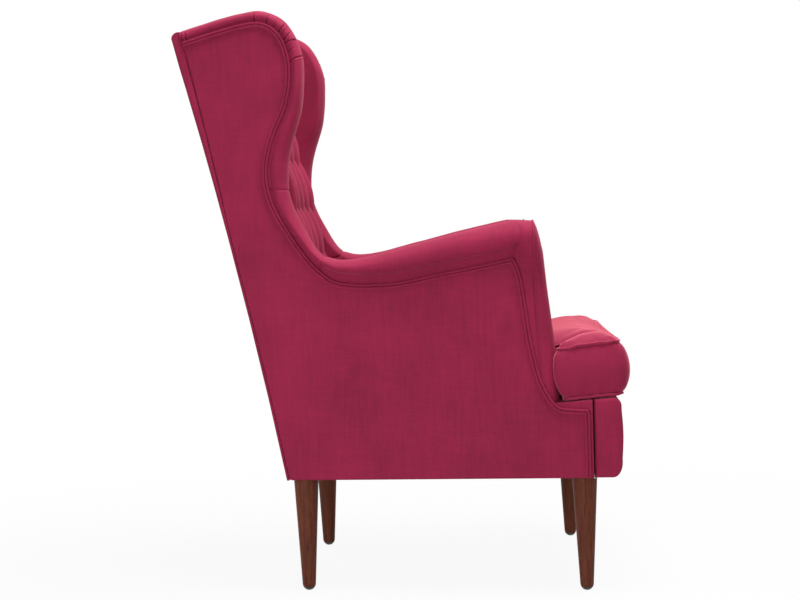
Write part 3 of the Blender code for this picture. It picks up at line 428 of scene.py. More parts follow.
def add_piece(name, shells, stands_for=(), finish="velvet", body="chair",
              crease=40):
    """Turn shells into a finished piece that rides on a body of the frame."""
    mesh = bpy.data.meshes.new(name)
    mesh.from_pydata(shells.points, [], shells.faces)
    mesh_edit = bmesh.new()
    mesh_edit.from_mesh(mesh)
    bmesh.ops.remove_doubles(mesh_edit, verts=mesh_edit.verts, dist=1e-6)
    bmesh.ops.dissolve_degenerate(mesh_edit, edges=mesh_edit.edges, dist=1e-7)
    mesh_edit.to_mesh(mesh)
    mesh_edit.free()
    piece = add_object(name, mesh)
    enter(piece, finish, body, stands_for)
    mesh.set_sharp_from_angle(angle=math.radians(crease))


def surface_normals(grid):
    """Unit normals of a grid of points."""
    return unit(np.cross(np.gradient(grid, axis=0), np.gradient(grid, axis=1)))


def sweep_rings(path, radius, sides, out, closed=False):
    """Rings round a path; out gives the direction of the first ring axis at each point."""
    if closed:
        along = np.roll(path, -1, axis=0) - np.roll(path, 1, axis=0)
    else:
        along = np.gradient(path, axis=0)
    along = unit(along)
    out = unit(out - along * np.sum(out * along, axis=1, keepdims=True))
    across = np.cross(along, out)
    turn = full_turn(sides)[None, :, None]
    radius = np.broadcast_to(np.asarray(radius, float), (len(path),))[:, None, None]
    return path[:, None] + radius * (out[:, None] * np.cos(turn) + across[:, None] * np.sin(turn))


# Shader expressions

def arithmetic(operation, reflected=False):
    """A method of Wire for one kind of arithmetic, with the wire as its first or second value."""
    def work(self, other):
        values = (other, self) if reflected else (self, other)
        return self.nodes.math(operation, *values)
    return work


class Wire:
    """A shader socket that can stand in a Python expression."""

    def __init__(self, nodes, socket):
        self.nodes = nodes
        self.socket = socket

    __add__ = __radd__ = arithmetic("ADD")
    __sub__ = arithmetic("SUBTRACT")
    __rsub__ = arithmetic("SUBTRACT", reflected=True)
    __mul__ = __rmul__ = arithmetic("MULTIPLY")
    __truediv__ = arithmetic("DIVIDE")
    __rtruediv__ = arithmetic("DIVIDE", reflected=True)
    __pow__ = arithmetic("POWER")
    __rpow__ = arithmetic("POWER", reflected=True)


class Nodes:
    """A node tree that is written as expressions."""

    def __init__(self, tree):
        self.tree = tree

    def node(self, kind, settings=None, inputs=None, out=0):
        """Add a node, apply its settings, fill its sockets and give back one of its outputs."""
        made = self.tree.nodes.new(kind)
        for name, value in (settings or {}).items():
            setattr(made, name, value)
        for key, value in (inputs or {}).items():
            self.fill(made.inputs[key], value)
        return Wire(self, made.outputs[out]) if made.outputs else None

    def math(self, operation, first, second):
        """A number worked out from two others."""
        return self.node("ShaderNodeMath", {"operation": operation}, {0: first, 1: second})

    def fill(self, socket, value):
        """Link a wire to a socket, or set the socket's own value."""
        if isinstance(value, Wire):
            self.tree.links.new(value.socket, socket)
        elif hasattr(value, "__len__") and len(value) == 3 and socket.type == "RGBA":
            socket.default_value = (*value, 1.0)
        else:
            socket.default_value = value


class Finish(Nodes):
    """A surface material and the textures that its expressions start from."""

    def __init__(self, name):
        self.material = bpy.data.materials.new(name)
        self.material.use_nodes = True
        super().__init__(self.material.node_tree)
        self.shader = self.tree.nodes["Principled BSDF"]
        self.place = self.node("ShaderNodeTexCoord", out="Object")

    def set(self, **sockets):
        """Fill sockets of the surface shader; an underscore stands for a space in the name."""
        for name, value in sockets.items():
            self.fill(self.shader.inputs[name.replace("_", " ")], value)

    def noise(self, where, scale, detail=3.0, roughness=0.5, distortion=0.0):
        """Cloudy noise from 0 to 1."""
        return self.node("ShaderNodeTexNoise", {"noise_dimensions": "3D"}, {
            "Vector": where, "Scale": scale, "Detail": detail, "Roughness": roughness,
            "Distortion": distortion}, out="Fac")

    def figure(self, cells, *how):
        """Noise drawn out along the piece, with so many cells to the metre along each axis."""
        where = self.node(
            "ShaderNodeVectorMath", {"operation": "MULTIPLY"}, {0: self.place, 1: cells})
        return self.noise(where, 1.0, *how)

    def between(self, value, low, high):
        """A value stretched so that low becomes 0 and high becomes 1."""
        return self.node("ShaderNodeMapRange", {"clamp": True}, {
            "Value": value, "From Min": low, "From Max": high, "To Min": 0.0, "To Max": 1.0})

    def mix(self, share, first, second):
        """Two colours mixed."""
        return self.node("ShaderNodeMix", {"data_type": "RGBA"}, {
            0: share, 6: first, 7: second}, out=2)

    def bump(self, height, distance, strength):
        """Fine relief drawn by the light alone."""
        return self.node("ShaderNodeBump", None, {
            "Height": height, "Distance": distance, "Strength": strength}, out="Normal")


def toned(colour, factor):
    """A colour made lighter or darker."""
    return tuple(channel * factor for channel in colour)


def grain_cells(axis, across, along):
    """Cells to the metre along each axis for a figure that runs along one of them."""
    return [along if number == axis else across for number in range(3)]


# Pale pink painted into the velvet's colour where the surface is seen at a slant: a painted sheen,
# not the pile's own colour.
PAINTED_SHEEN_COLOUR = (0.66, 0.115, 0.160)


def velvet_finish(name, colour, depth, sheen, sheen_tint, slant, brushed=1.0):
    """Cotton velvet: short pile, faint brush marks, cloudy mottling and a painted sheen that turns
    the colour paler pink where the surface is seen at a slant.
    """
    finish = Finish(name)
    clouds = finish.noise(finish.place, 8.0, 4.0, 0.6)
    streaks = finish.figure((150.0, 150.0, 16.0), 3.0, 0.6)
    cross_streaks = finish.figure((22.0, 22.0, 260.0), 2.0)
    pile = finish.noise(finish.place, 900.0, 2.0, 0.7)
    shade = (finish.between(clouds, 0.32, 0.68) * 0.45
             + finish.between(streaks, 0.34, 0.66) * (0.25 * brushed)
             + finish.between(cross_streaks, 0.34, 0.66) * (0.14 * brushed)
             + finish.between(pile, 0.30, 0.70) * 0.16)
    facing = finish.node("ShaderNodeLayerWeight", None, {"Blend": 0.5}, out="Facing")
    # Painted sheen: the colour turns towards the pale pink by how far the surface is seen at a
    # slant, scaled by slant.
    painted_sheen_share = facing ** 3.5 * slant
    nap = finish.mix(shade, toned(colour, 1 - depth), toned(colour, 1 + depth))
    finish.set(
        Base_Color=finish.mix(painted_sheen_share, nap, PAINTED_SHEEN_COLOUR),
        Roughness=0.72 + finish.between(pile, 0.3, 0.7) * 0.16,
        Specular_IOR_Level=0.18,
        Sheen_Weight=sheen,
        Sheen_Roughness=0.38,
        Sheen_Tint=sheen_tint,
        Normal=finish.bump(
            pile + streaks * 0.5 + finish.noise(finish.place, 260.0, 2.0) * 0.8, 0.00030, 0.55))
    return finish.material


def wood_finish(name, light, dark, axis, roughness, fibres=420.0, specular=0.22):
    """Planed wood with its grain along one axis: bands, fibres and open pores."""
    finish = Finish(name)
    warp = finish.figure(grain_cells(axis, 26.0, 1.6), 4.0, 0.6, 0.4)
    fibre = finish.figure(grain_cells(axis, fibres, fibres / 35), 3.0, 0.65)
    pore = finish.figure(grain_cells(axis, 700.0, 30.0), 1.0)
    pores = finish.between(pore, 0.60, 0.70)
    bands = finish.node("ShaderNodeMath", {"operation": "FRACT"}, {0: warp * 7.0})
    streaks = finish.between(fibre, 0.30, 0.70)
    grain = finish.between(warp, 0.32, 0.68) * 0.35 + streaks * 0.45 + bands * 0.2
    finish.set(
        Specular_IOR_Level=specular,
        Base_Color=finish.mix(pores * 0.5, finish.mix(grain, dark, light), toned(dark, 0.45)),
        Roughness=roughness + fibre * 0.12,
        Normal=finish.bump(fibre - pores, 0.00025, 0.5))
    return finish.material


def beech_finish(name, settings, axis):
    """Pale frame timber with its grain along one axis."""
    return wood_finish(name, settings.beech_light[:], settings.beech_dark[:], axis, 0.55)


def metal_finish(name, colour, roughness):
    """Drawn or plated steel with faint scratches and dull patches."""
    finish = Finish(name)
    patches = finish.noise(finish.place, 90.0, 3.0)
    scratches = finish.figure((900.0, 900.0, 60.0), 2.0)
    finish.set(
        Base_Color=finish.mix(patches, toned(colour, 0.8), colour),
        Metallic=1.0,
        Roughness=roughness + patches * 0.15 + scratches * 0.06,
        Normal=finish.bump(scratches, 0.00006, 0.4))
    return finish.material


def woven_finish(name, colour, threads):
    """Plain woven cloth with its crossing threads."""
    finish = Finish(name)
    waves = [
        finish.node("ShaderNodeTexWave", {"bands_direction": axis}, {
            "Vector": finish.place, "Scale": threads / 20.0, "Distortion": 0.6,
            "Detail": 2.0, "Detail Scale": 1.5})
        for axis in ("X", "Y", "Z")]
    weave = (waves[0] + waves[1] + waves[2]) / 3.0
    mottle = finish.noise(finish.place, 30.0, 3.0)
    shade = weave * 0.6 + mottle * 0.4
    finish.set(
        Base_Color=finish.mix(shade, toned(colour, 0.75), toned(colour, 1.25)),
        Roughness=0.9 - weave * 0.08,
        Normal=finish.bump(weave, 0.0002, 0.5))
    return finish.material


def plastic_finish(name, colour):
    """Moulded glide plastic with a fine spark texture and scuffs."""
    finish = Finish(name)
    texture = finish.noise(finish.place, 1500.0, 2.0)
    scuffs = finish.between(finish.figure((260.0, 90.0, 90.0)), 0.6, 0.7)
    finish.set(
        Base_Color=finish.mix(scuffs * 0.4, colour, toned(colour, 3)),
        Roughness=0.45 + texture * 0.12 + scuffs * 0.15,
        Normal=finish.bump(texture, 0.00005, 0.5))
    return finish.material


FINISH_MAKERS = {
    # For each velvet, the number after the sheen tint is the share of painted sheen mixed into its
    # colour at a slant: little on the fixed covers, most on the loose cushion.
    "velvet": lambda s: velvet_finish(
        "velvet", s.velvet_colour[:], 0.24, s.velvet_sheen, s.sheen_tint[:], 0.07),
    "cushion_velvet": lambda s: velvet_finish(
        "cushion_velvet", s.velvet_colour[:], 0.20, s.cushion_sheen, s.sheen_tint[:], 0.95, 0.6),
    "walnut": lambda s: wood_finish(
        "walnut", s.walnut_light[:], s.walnut_dark[:], 2, 0.42, 240.0, 0.10),
    "beech_x": lambda s: beech_finish("beech_x", s, 0),
    "beech_y": lambda s: beech_finish("beech_y", s, 1),
    "beech_z": lambda s: beech_finish("beech_z", s, 2),
    "spring_steel": lambda s: metal_finish("spring_steel", (0.16, 0.155, 0.15), 0.35),
    "plated_steel": lambda s: metal_finish("plated_steel", (0.62, 0.61, 0.58), 0.25),
    "lining": lambda s: woven_finish("lining", (0.045, 0.040, 0.042), 900.0),
    "deck_cloth": lambda s: woven_finish("deck_cloth", (0.16, 0.018, 0.038), 800.0),
    "glide_plastic": lambda s: plastic_finish("glide_plastic", (0.022, 0.017, 0.014)),
}


def finish_of(name):
    """A finish by name, made when it is first asked for."""
    ready = bpy.data.materials.get(name + "_made")
    if ready is None:
        ready = FINISH_MAKERS[name](bpy.context.scene.armchair_finishes)
        ready.name = name + "_made"
    return ready


# Covers of the sides

def front_welt(count):
    """Side-view points of the welt down the front of the arm."""
    return smooth(FRONT_WELT, np.linspace(0, len(FRONT_WELT) - 1, count))


def front_welt_y(rise, count):
    """Depth of that welt at a height, read from so many of its points."""
    welt = front_welt(count)
    return np.interp(-rise, -welt[:, 1], welt[:, 0])


def welt_line():
    """The welt line in side view, from the top of the back to the foot of the base."""
    over = smooth(ROLL[:, :2], np.linspace(0, ROLL_END, ROLL_END * 10 + 1))
    front = front_welt(61)
    toe = np.array([TOE_WELT])
    rises = np.concatenate([np.linspace(TOE_WELT[1] - 0.006, 0.006, 8), [0.0036, 0.0020, 0.0010]])
    foot = np.stack([np.full(len(rises), TOE_WELT[0]), rises], axis=1)
    return np.concatenate([over, front[1:], toe, foot])


def across_places(length):
    """Distances along a ruling, closer together at both ends where the cover is rounded."""
    edge = np.array([0, 0.0004, 0.001, 0.0018, 0.003, 0.005, 0.009, 0.015, 0.022])
    full = max(length, 0.060)
    middle = np.linspace(0.022, full - 0.022, 14)[1:-1]
    places = np.concatenate([edge, middle, (full - edge)[::-1]])
    return places * length / full


def side_panel_grid():
    """Side-view points of the outside panel and how far each stands proud of its plane."""
    corner_share = 0.72
    fullness = 0.0014
    full_from = 0.06
    seam_radius = 0.0022
    hidden_radius = 0.0007
    open_radius = 0.0032
    open_from = 0.42
    line = welt_line()
    toe = np.argmin(np.hypot(*(line - np.array(TOE_WELT)).T))
    near = line[:toe + 1].copy()
    near[-1, 0] = TIMBER_FRONT_Y
    steps = run_along(near)
    steps /= steps[-1]
    top = near[0, 1]
    rise = top + (GAP - top) * steps / corner_share
    rear = np.stack([back_inner_y(rise, GAP), rise], axis=1)
    foot_rear = back_inner_y(0.0, GAP)
    share = np.clip((steps - corner_share) / (1 - corner_share), 0, 1)
    bottom_y = foot_rear + (TIMBER_FRONT_Y - foot_rear) * share
    bottom = np.stack([bottom_y, np.full(len(steps), GAP)], axis=1)
    far = np.where((steps < corner_share)[:, None], rear, bottom)
    grid = []
    proud = []
    for start, end in zip(near, far):
        length = max(math.hypot(*(end - start)), 1e-4)
        places = across_places(length)
        grid.append(start + (end - start) * (places / length)[:, None])
        nearest = np.minimum(places, length - places)
        open_edge = 1.0 if end[1] < 0.004 else ease((end[1] - open_from) / 0.20)
        far_radius = hidden_radius + (open_radius - hidden_radius) * open_edge
        proud.append(fullness * ease(nearest / full_from) - edge_round(places, seam_radius)
                     - edge_round(length - places, far_radius))
    return np.array(grid), np.array(proud)


def add_side_panel(side, name):
    """The outside of one arm and wing in a single panel."""
    grid, proud = side_panel_grid()
    grid[..., 1] = np.maximum(grid[..., 1], GAP)
    front = on_side(side, grid, proud)
    behind = on_side(side, grid, -PANEL_THICKNESS)
    rings = np.concatenate([front, behind[:, ::-1]], axis=1)
    add_piece("outside_panel_" + name, lofted(rings), ["outer_side_" + name])


def add_side_welt(side, name, radius, pitch):
    """The two cords of one side, a little uneven as sewn piping is, tucked in at the foot."""
    tuck_depth = 0.0026
    tuck_rise = 0.0055
    line = welt_line()
    along = unit(np.gradient(line, axis=0))
    normal = np.stack([-along[:, 1], along[:, 0]], axis=1)
    run = run_along(line)
    tuck = 1 - ease(line[:, 1] / tuck_rise)
    shells = Shells()
    for sign in (1, -1):
        place = line + normal * sign * pitch / 2
        wobble = 0.00012 * np.sin(run * 410 + sign) + 0.0001 * np.sin(run * 167)
        path = on_side(side, place, GAP + radius + wobble - tuck_depth * tuck)
        out = np.tile([float(side), 0.0, 0.0], (len(path), 1))
        thickness = radius * (1 + 0.03 * np.sin(run * 530 + 2 * sign)) * (1 - 0.45 * tuck)
        shells.loft(sweep_rings(path, thickness, 12, out))
    add_piece("double_welt_" + name, shells, ["side_welt_" + name])


# Wings and arms

def roll_profile(rows):
    """Distance from the welt and depth proud of the panel along each section of the roll."""
    width = np.hypot(rows[:, 2] - rows[:, 0], rows[:, 3] - rows[:, 1])[:, None]
    overhang = rows[:, 4][:, None]
    fullness = np.minimum(overhang / FULL_OVERHANG, 1.0)
    shadow = UNDERCUT + UNDERCUT_GAIN * fullness * np.minimum(width / FULL_WIDTH, 1.0)
    shoulder = shadow + (width - shadow) * SHOULDER_SHARE
    flat = np.linspace(0, 1, 5)[None, :-1]
    rounding = quarter(9)[None, :]
    half = quarter(19)[None, 1:]
    depth = ARM_THICKNESS - ROLL_CREST_INSET
    squareness = 1 - ROLL_SQUARENESS * fullness
    over = np.sin(half) ** squareness
    out = np.cos(half) ** squareness
    distance = np.concatenate([
        GAP / 2 + (shadow - GAP / 2) * flat,
        shadow + (shoulder - shadow) * (1 - np.cos(rounding)),
        shoulder + (width - shoulder) * over,
        shoulder + (width - shoulder) * out,
    ], axis=1)
    proud = np.concatenate([
        np.zeros_like(shadow * flat),
        overhang * np.sin(rounding),
        overhang - (overhang + ROLL_CREST_INSET) * (1 - out),
        np.broadcast_to(-ROLL_CREST_INSET - depth * over, (len(rows), half.shape[1])),
    ], axis=1)
    turn = np.concatenate([
        np.linspace(0.0, 0.12, 4), np.linspace(0.12, 0.40, 9), np.linspace(0.40, 1.0, 19)[1:],
        np.linspace(1.0, 2.0, 19)[1:]])
    return distance, proud, width, turn


def end_crease_share(turn):
    """The crease at the roll's end runs over its outside and dies away towards the crest."""
    return 1 - ease((turn - 0.5) / 0.4)


def end_bow(turn):
    """How far the crease at the roll's end runs forward of its section."""
    return -ROLL_END_BOW * np.sin(math.pi * np.clip(turn / 0.95, 0, 1))


def inner_ends(places):
    """Where the inner face of the cover ends, behind the back pad or below the cushion."""
    rise = INNER_TOP + (INNER_TURN - INNER_TOP) * places / WING_SEAM
    behind = np.stack([back_inner_y(rise, COVER_TURN_IN), rise], axis=1)
    arm = np.clip((places - WING_SEAM) / (ROLL_END - WING_SEAM), 0, 1)
    seat_rear = back_inner_y(INNER_FOOT, COVER_TURN_IN)
    level = seat_z(seat_rear, INNER_CLEAR) - BASE_Z
    rise = INNER_TURN + (level - INNER_TURN) * np.clip(arm / INNER_SHARE, 0, 1)
    down = np.stack([back_inner_y(rise, COVER_TURN_IN), rise], axis=1)
    forward = np.clip((arm - INNER_SHARE) / (1 - INNER_SHARE), 0, 1)
    y = seat_rear + (INNER_FRONT_Y - seat_rear) * forward
    below = np.stack([y, seat_z(y, INNER_CLEAR) - BASE_Z], axis=1)
    arm_end = np.where((arm < INNER_SHARE)[:, None], down, below)
    return np.where((places <= WING_SEAM)[:, None], behind, arm_end)


def inner_seam(steps):
    """The seam between an arm's inner face and its front, from the shoulder down in side view."""
    start = ROLL[-1, 2:4]
    line = start + (inner_ends(np.array([float(ROLL_END)]))[0] - start) * steps[:, None]
    front = np.maximum(front_welt_y(line[:, 1], 61) - 0.0004, FACING_REAR_Y)
    line[:, 0] += (front - line[:, 0]) * ease(steps * 6)
    return line


def cover_grid(places):
    """A side-view grid of points over the roll and down its inner face."""
    rows = smooth(ROLL, places)
    ends = inner_ends(places)
    distance, proud, width, turn = roll_profile(rows)
    way = (rows[:, 2:4] - rows[:, :2]) / width
    view = rows[:, None, :2] + way[:, None] * distance[..., None]
    view[..., 0] += end_bow(turn)[None] * ease((places - (ROLL_END - 1.2)) / 1.2)[:, None]
    shoulder = distance[:, -1]
    inner_start = rows[:, :2] + way * shoulder[:, None]
    steps = np.linspace(0, 1, 25)[1:]
    straight = inner_start[:, None] + (ends - inner_start)[:, None] * steps[None, :, None]
    if places[-1] >= ROLL_END:
        lean = ease((places - (ROLL_END - 3.0)) / 3.0) ** 3
        shift = inner_seam(steps)[:, 0] - straight[-1, :, 0]
        straight[..., 0] += shift * lean[:, None]
    view = np.concatenate([view, straight], axis=1)
    inner_proud = np.full((len(places), len(steps)), -ARM_THICKNESS)
    proud = np.concatenate([proud, inner_proud], axis=1)
    turn = np.concatenate([turn, 2.0 + steps])
    return view, proud, turn, rows, way, width


def hidden_return(view_end, rows, way, width):
    """The back of the cover round the timber, as side-view points and depths."""
    timber = np.maximum(1 - ROLL_PADDING / width, 0.08) * width + GAP
    low = rows[:, :2] + way * GAP
    high = rows[:, :2] + way * timber
    behind = -TIMBER_BACK - GAP
    before = -TIMBER_INSET + GAP
    view = np.stack([view_end, low, high, high, low], axis=1)
    return view, np.array([[behind, behind, behind, before, before]])


def groove(distance, depth, width):
    """A sewn seam: a narrow valley with a shallow dip on either side."""
    reach = np.abs(distance) / width
    return -depth * (0.65 * np.exp(-reach ** 2 * 4) + 0.35 * np.exp(-reach))


def pleat(distance, lip):
    """A folded pleat: the cover rises to a soft edge that laps over a narrow valley."""
    tent = 0.35 * lip * np.exp(-np.abs(distance) / 0.010)
    lap = 0.40 * lip * ease(distance / 0.0018) * np.exp(-np.clip(distance, 0, None) / 0.006)
    valley = -1.30 * lip * np.exp(-(distance / 0.0013) ** 2)
    return tent + lap + valley


def roll_run(places):
    """Length of the crest from its start to each place."""
    fine = np.linspace(0, ROLL_END, 2101)
    return np.interp(places, fine, run_along(smooth(ROLL[:, 2:4], fine)))


def cover_dents(places, turn, pleat_lip, seam_depth):
    """How far the cover stands out of its plain form: pleats, seams and soft filling."""
    run = roll_run(places)[:, None]
    turn = turn[None, :]
    over_crest = 1 - ease((turn - 1.15) / 0.5)
    dents = np.zeros((len(places), turn.shape[1]))
    for high_place, high, low_place, low, strength in WING_PLEATS:
        share = (high - turn) / (high - low)
        line = roll_run(high_place + (low_place - high_place) * np.clip(share, -0.6, 1))
        fade = ease((turn - low + 0.08) / 0.08) * (1 - ease((turn - high + 0.22) / 0.42))
        dents += pleat(run - line, pleat_lip * strength) * fade
    wing_front = ease((places - 6.6) / 1.2) * (1 - ease((places - 13.2) / 1.2))
    dents += WING_FULLNESS * wing_front[:, None] * ease((turn - 0.35) / 0.5) * over_crest
    seen = 1 - ease((turn - 2.0) / 0.4)
    dents += groove(run - roll_run(WING_CROSS_SEAM), seam_depth, 0.004) * seen
    dents += groove(run - roll_run(WING_SEAM), seam_depth * 1.2, 0.005)
    dents += groove(run - roll_run(ROLL_END), END_CREASE, 0.006) * end_crease_share(turn)
    filling = (np.sin(run * 61 + turn * 2.1) * 0.35 + np.sin(run * 23 - turn * 3.3) * 0.5
               + np.sin(run * 140 + turn * 5) * 0.12)
    dents += FILLING_SWELL * filling * ease((turn - 0.15) / 0.3)
    return dents


def refined(start, end, step, marks):
    """Places between two ends, close together round the marks."""
    plain = np.linspace(start, end, int(round((end - start) / step)) + 1)
    close = [mark + offset for mark in marks for offset in np.linspace(-0.16, 0.16, 17)]
    places = np.concatenate([plain, [place for place in close if start < place < end]])
    places = np.unique(np.round(places, 5))
    keep = np.concatenate([[True], np.diff(places) > 0.004])
    keep[-1] = True
    return places[keep]


def add_cover(side, name, part, pleat_lip, seam_depth):
    """One cover of the roll and its inner face: the wing's or the arm's."""
    seam_gap = 0.004
    step = 0.125
    pleat_step = 0.022
    seen_column = 18
    if part == "wing":
        places = refined(0, WING_SEAM - seam_gap, step, [WING_CROSS_SEAM, WING_SEAM])
        for start, end in PLEATED_RUNS:
            places = places[(places <= start) | (places >= end)]
        places = np.unique(np.concatenate(
            [places, [0.0]]
            + [np.arange(max(start, 0.0), end, pleat_step) for start, end in PLEATED_RUNS]))
    else:
        places = refined(WING_SEAM + seam_gap, ROLL_END, step, [WING_SEAM])
    view, proud, turn, rows, way, width = cover_grid(places)
    shown = on_side(side, view, proud)
    normal = surface_normals(shown)
    if np.mean(normal[:, seen_column, 0]) * side < 0:
        normal = -normal
    shown = shown + normal * cover_dents(places, turn, pleat_lip, seam_depth)[..., None]
    back = on_side(side, *hidden_return(view[:, -1], rows, way, width))
    add_piece(
        "%s_cover_%s" % (part, name), lofted(np.concatenate([shown, back], axis=1)),
        ["%s_roll_%s" % (part, name), "inside_%s_%s" % (part, name)], crease=60)


# Arm fronts

def arm_front_edges():
    """Rear edge and facing seam of the arm front: depth, height above the base and proudness."""
    last = ROLL[-1]
    distance, proud, width, turn = roll_profile(ROLL[-1:])
    section = last[:2] + (last[2:4] - last[:2]) / width[0] * distance[0][:, None]
    shoulder = np.interp(FACING_TURN, turn[turn <= 1], section[turn <= 1, 1])
    bottom = seat_z(-0.262, 0.0004) - BASE_Z
    climb = np.linspace(0, 1, 30)[:-1]
    fall = np.linspace(1, 0, 30)[1:]
    low_rear = bottom + (last[1] - bottom) * climb
    low_seam = bottom + (FACING_FLARE - bottom) * climb
    inner = bottom + (section[-1, 1] - bottom) * fall
    under = np.clip(turn / FACING_TURN, 0, 1)
    flaring = turn < FACING_TURN
    seam_rise = np.where(flaring, FACING_FLARE + (shoulder - FACING_FLARE) * under, section[:, 1])
    seam_proud = np.where(flaring, last[4] * ease(under), proud[0])
    welt_y = np.maximum(front_welt_y(low_rear, 121), FACING_REAR_Y) - GAP
    seam_line = inner_seam(np.linspace(0, 1, 60))[::-1]
    inner_y = np.interp(inner, seam_line[:, 1], seam_line[:, 0]) - GAP
    rear = np.stack([
        np.concatenate([welt_y, section[:, 0] + end_bow(turn) - GAP, inner_y]),
        np.concatenate([low_rear, section[:, 1], inner]),
        np.concatenate([0 * climb, proud[0], 0 * fall - ARM_THICKNESS])], axis=1)
    rise = np.concatenate([low_seam, seam_rise, inner])
    seam = np.stack([
        np.interp(rise, ARM_FACING[:, 0], ARM_FACING[:, 1]), rise,
        np.concatenate([0 * climb, seam_proud, 0 * fall - ARM_THICKNESS])], axis=1)
    rear[:, 0] = np.maximum(rear[:, 0], seam[:, 0] + 0.004)
    creased = np.concatenate([0 * climb, end_crease_share(turn), 0 * fall])
    return rear, seam, creased


def add_arm_front(side, name, welt_radius):
    """The front of one arm: a band round its edge, then the padded facing inside its welt."""
    top_drop = 0.0015
    seam_tuck = 0.0014
    crease_reach = 0.0035
    trench_depth = 0.0016
    roundness = 2.5
    rear, seam, creased = arm_front_edges()
    drop = np.where((seam[:, 2] < 0.0199) & (seam[:, 1] > 0.44), top_drop, 0.0)
    rings = []
    shares = [0, 0.02, 0.05, 0.1, 0.17, *np.linspace(0.26, 0.85, 7), 0.93, 0.97, 1.0]
    for share in shares:
        y, rise, proud = (rear + (seam - rear) * share).T
        crease = END_CREASE * creased * np.exp(-(rear[:, 0] - y) / crease_reach)
        tuck = seam_tuck * ease((share - 0.88) / 0.12)
        inwards = np.where(proud > -ARM_THICKNESS / 2, -tuck, tuck) - crease
        view = np.column_stack([y, rise - drop * share * share])
        rings.append(on_side(side, view, proud + inwards))
    middle = -0.5 * (ARM_THICKNESS - 0.006)
    target = np.minimum(seam[:, 1], seam[:, 1].max() - ARM_THICKNESS / 2)
    for loop in (0.992, 0.980, 0.965, 0.94, 0.90, 0.85, *np.linspace(0.78, 0.0, 12)):
        across = middle + (seam[:, 2] - middle) * loop
        level = target + (seam[:, 1] - drop - target) * loop
        swell = math.sqrt(max(1 - loop ** roundness, 0.0))
        stand = np.interp(level, ARM_FACING[:, 0], ARM_FACING[:, 2])
        trench = trench_depth * math.exp(-((loop - 0.988) / 0.010) ** 2)
        view = np.column_stack([seam[:, 0] - stand * swell + trench, level])
        rings.append(on_side(side, view, across))
    shells = Shells()
    shells.add(np.array(rings), ring_faces(len(rings), len(seam)) + [tuple(range(len(seam)))])
    add_piece("arm_front_cover_" + name, shells, ["arm_front_" + name], crease=60)
    path = on_side(side, np.column_stack([seam[:, 0] - 0.0002, seam[:, 1] - drop]), seam[:, 2])
    out = np.tile([0.0, -1.0, 0.0], (len(path), 1))
    add_piece("facing_welt_" + name, lofted(sweep_rings(path, welt_radius * 0.72, 10, out)))


# Base covers

def inward_offset(outline, distance):
    """A closed side-view outline moved inwards by a small distance."""
    ahead = np.roll(outline, -1, axis=0)
    before = unit(outline - np.roll(outline, 1, axis=0))
    after = unit(ahead - outline)
    both = before + after
    normal = unit(np.stack([-both[:, 1], both[:, 0]], axis=1))
    across = np.stack([-after[:, 1], after[:, 0]], axis=1)
    cosine = np.clip(np.sum(normal * across, axis=1), 0.5, 1)
    area = np.sum(outline[:, 0] * ahead[:, 1] - ahead[:, 0] * outline[:, 1])
    return outline + np.sign(area) * normal * (distance / cosine)[:, None]


def add_base_corner(side, name):
    """The covered toe behind the border, rounded over at the panel."""
    radius = 0.0025
    toe_radius = 0.003
    welt = front_welt(61)
    under = welt[welt[:, 1] + BASE_Z < seat_z(welt[:, 0], -0.003)]
    seat_front = seat_z(BASE_FRONT_Y, -GAP) - BASE_Z
    seat_rear = seat_z(under[0, 0], -GAP) - BASE_Z
    seat_rise = (seat_rear - seat_front) / (under[0, 0] - BASE_FRONT_Y)
    outline = np.array(
        [(y, rise + GAP) for y, rise in under]
        + [(TIMBER_FRONT_Y - GAP, rise) for rise in np.linspace(TOE_WELT[1], GAP, 16)]
        + [(BASE_FRONT_Y + back, GAP + up) for back, up in rounding(5, toe_radius, toe_radius)]
        + [(BASE_FRONT_Y, rise) for rise in np.linspace(0.006, seat_front, 16)[1:]]
        + [(y, seat_front + seat_rise * (y - BASE_FRONT_Y))
           for y in np.linspace(BASE_FRONT_Y, under[0, 0], 8)[1:]])
    rings = [on_side(side, inward_offset(outline, back), -inwards)
             for back, inwards in rounding(6, radius, radius)]
    rings.append(on_side(side, outline, -ARM_THICKNESS))
    add_piece("base_corner_" + name, lofted(rings), ["front_corner_" + name])


def border_outline():
    """Side view of the padded border under the cushion's nose."""
    rear = BASE_FRONT_Y - 0.0030
    front = BASE_FRONT_Y - GAP - 0.052
    low_depth = 0.018
    low_height = 0.028
    top_round = 0.015
    bow = 0.0022
    top = seat_z(front, -GAP) - BASE_Z - 0.001
    points = [(rear, GAP), (rear - 0.010, GAP), (rear - 0.022, GAP)]
    points += [(front + back, GAP + up) for back, up in rounding(9, low_depth, low_height)]
    rises = np.linspace(GAP + low_height, top - top_round, 14)[1:-1]
    for rise in rises:
        share = (rise - rises[0]) / (rises[-1] - rises[0])
        points.append((front - bow * math.sin(math.pi * share), rise))
    points += [(front + back, top - down) for down, back in rounding(9, top_round, top_round)]
    points += [(y, seat_z(y, -GAP) - BASE_Z)
               for y in (front + top_round + 0.012, rear - 0.010, rear)]
    return np.array(points)


def add_front_border():
    """The padded border across the front, rounded over at both ends."""
    outline = border_outline()
    radius = 0.007
    side_gap = 0.002
    end = []
    for back, inwards in rounding(7, radius, radius):
        points = inward_offset(outline, back)
        x = side_x(points[:, 0], side_gap + inwards)
        end.append(np.column_stack([x, points[:, 0], points[:, 1] + BASE_Z]))
    x = side_x(outline[:, 0], side_gap + radius)
    middle = [np.column_stack([x * share, outline[:, 0], outline[:, 1] + BASE_Z])
              for share in np.linspace(1, -1, 41)[1:-1]]
    far_end = [ring * (-1, 1, 1) for ring in end[::-1]]
    add_piece("front_border_cover", lofted(end + middle + far_end), ["front_border"])


# Back

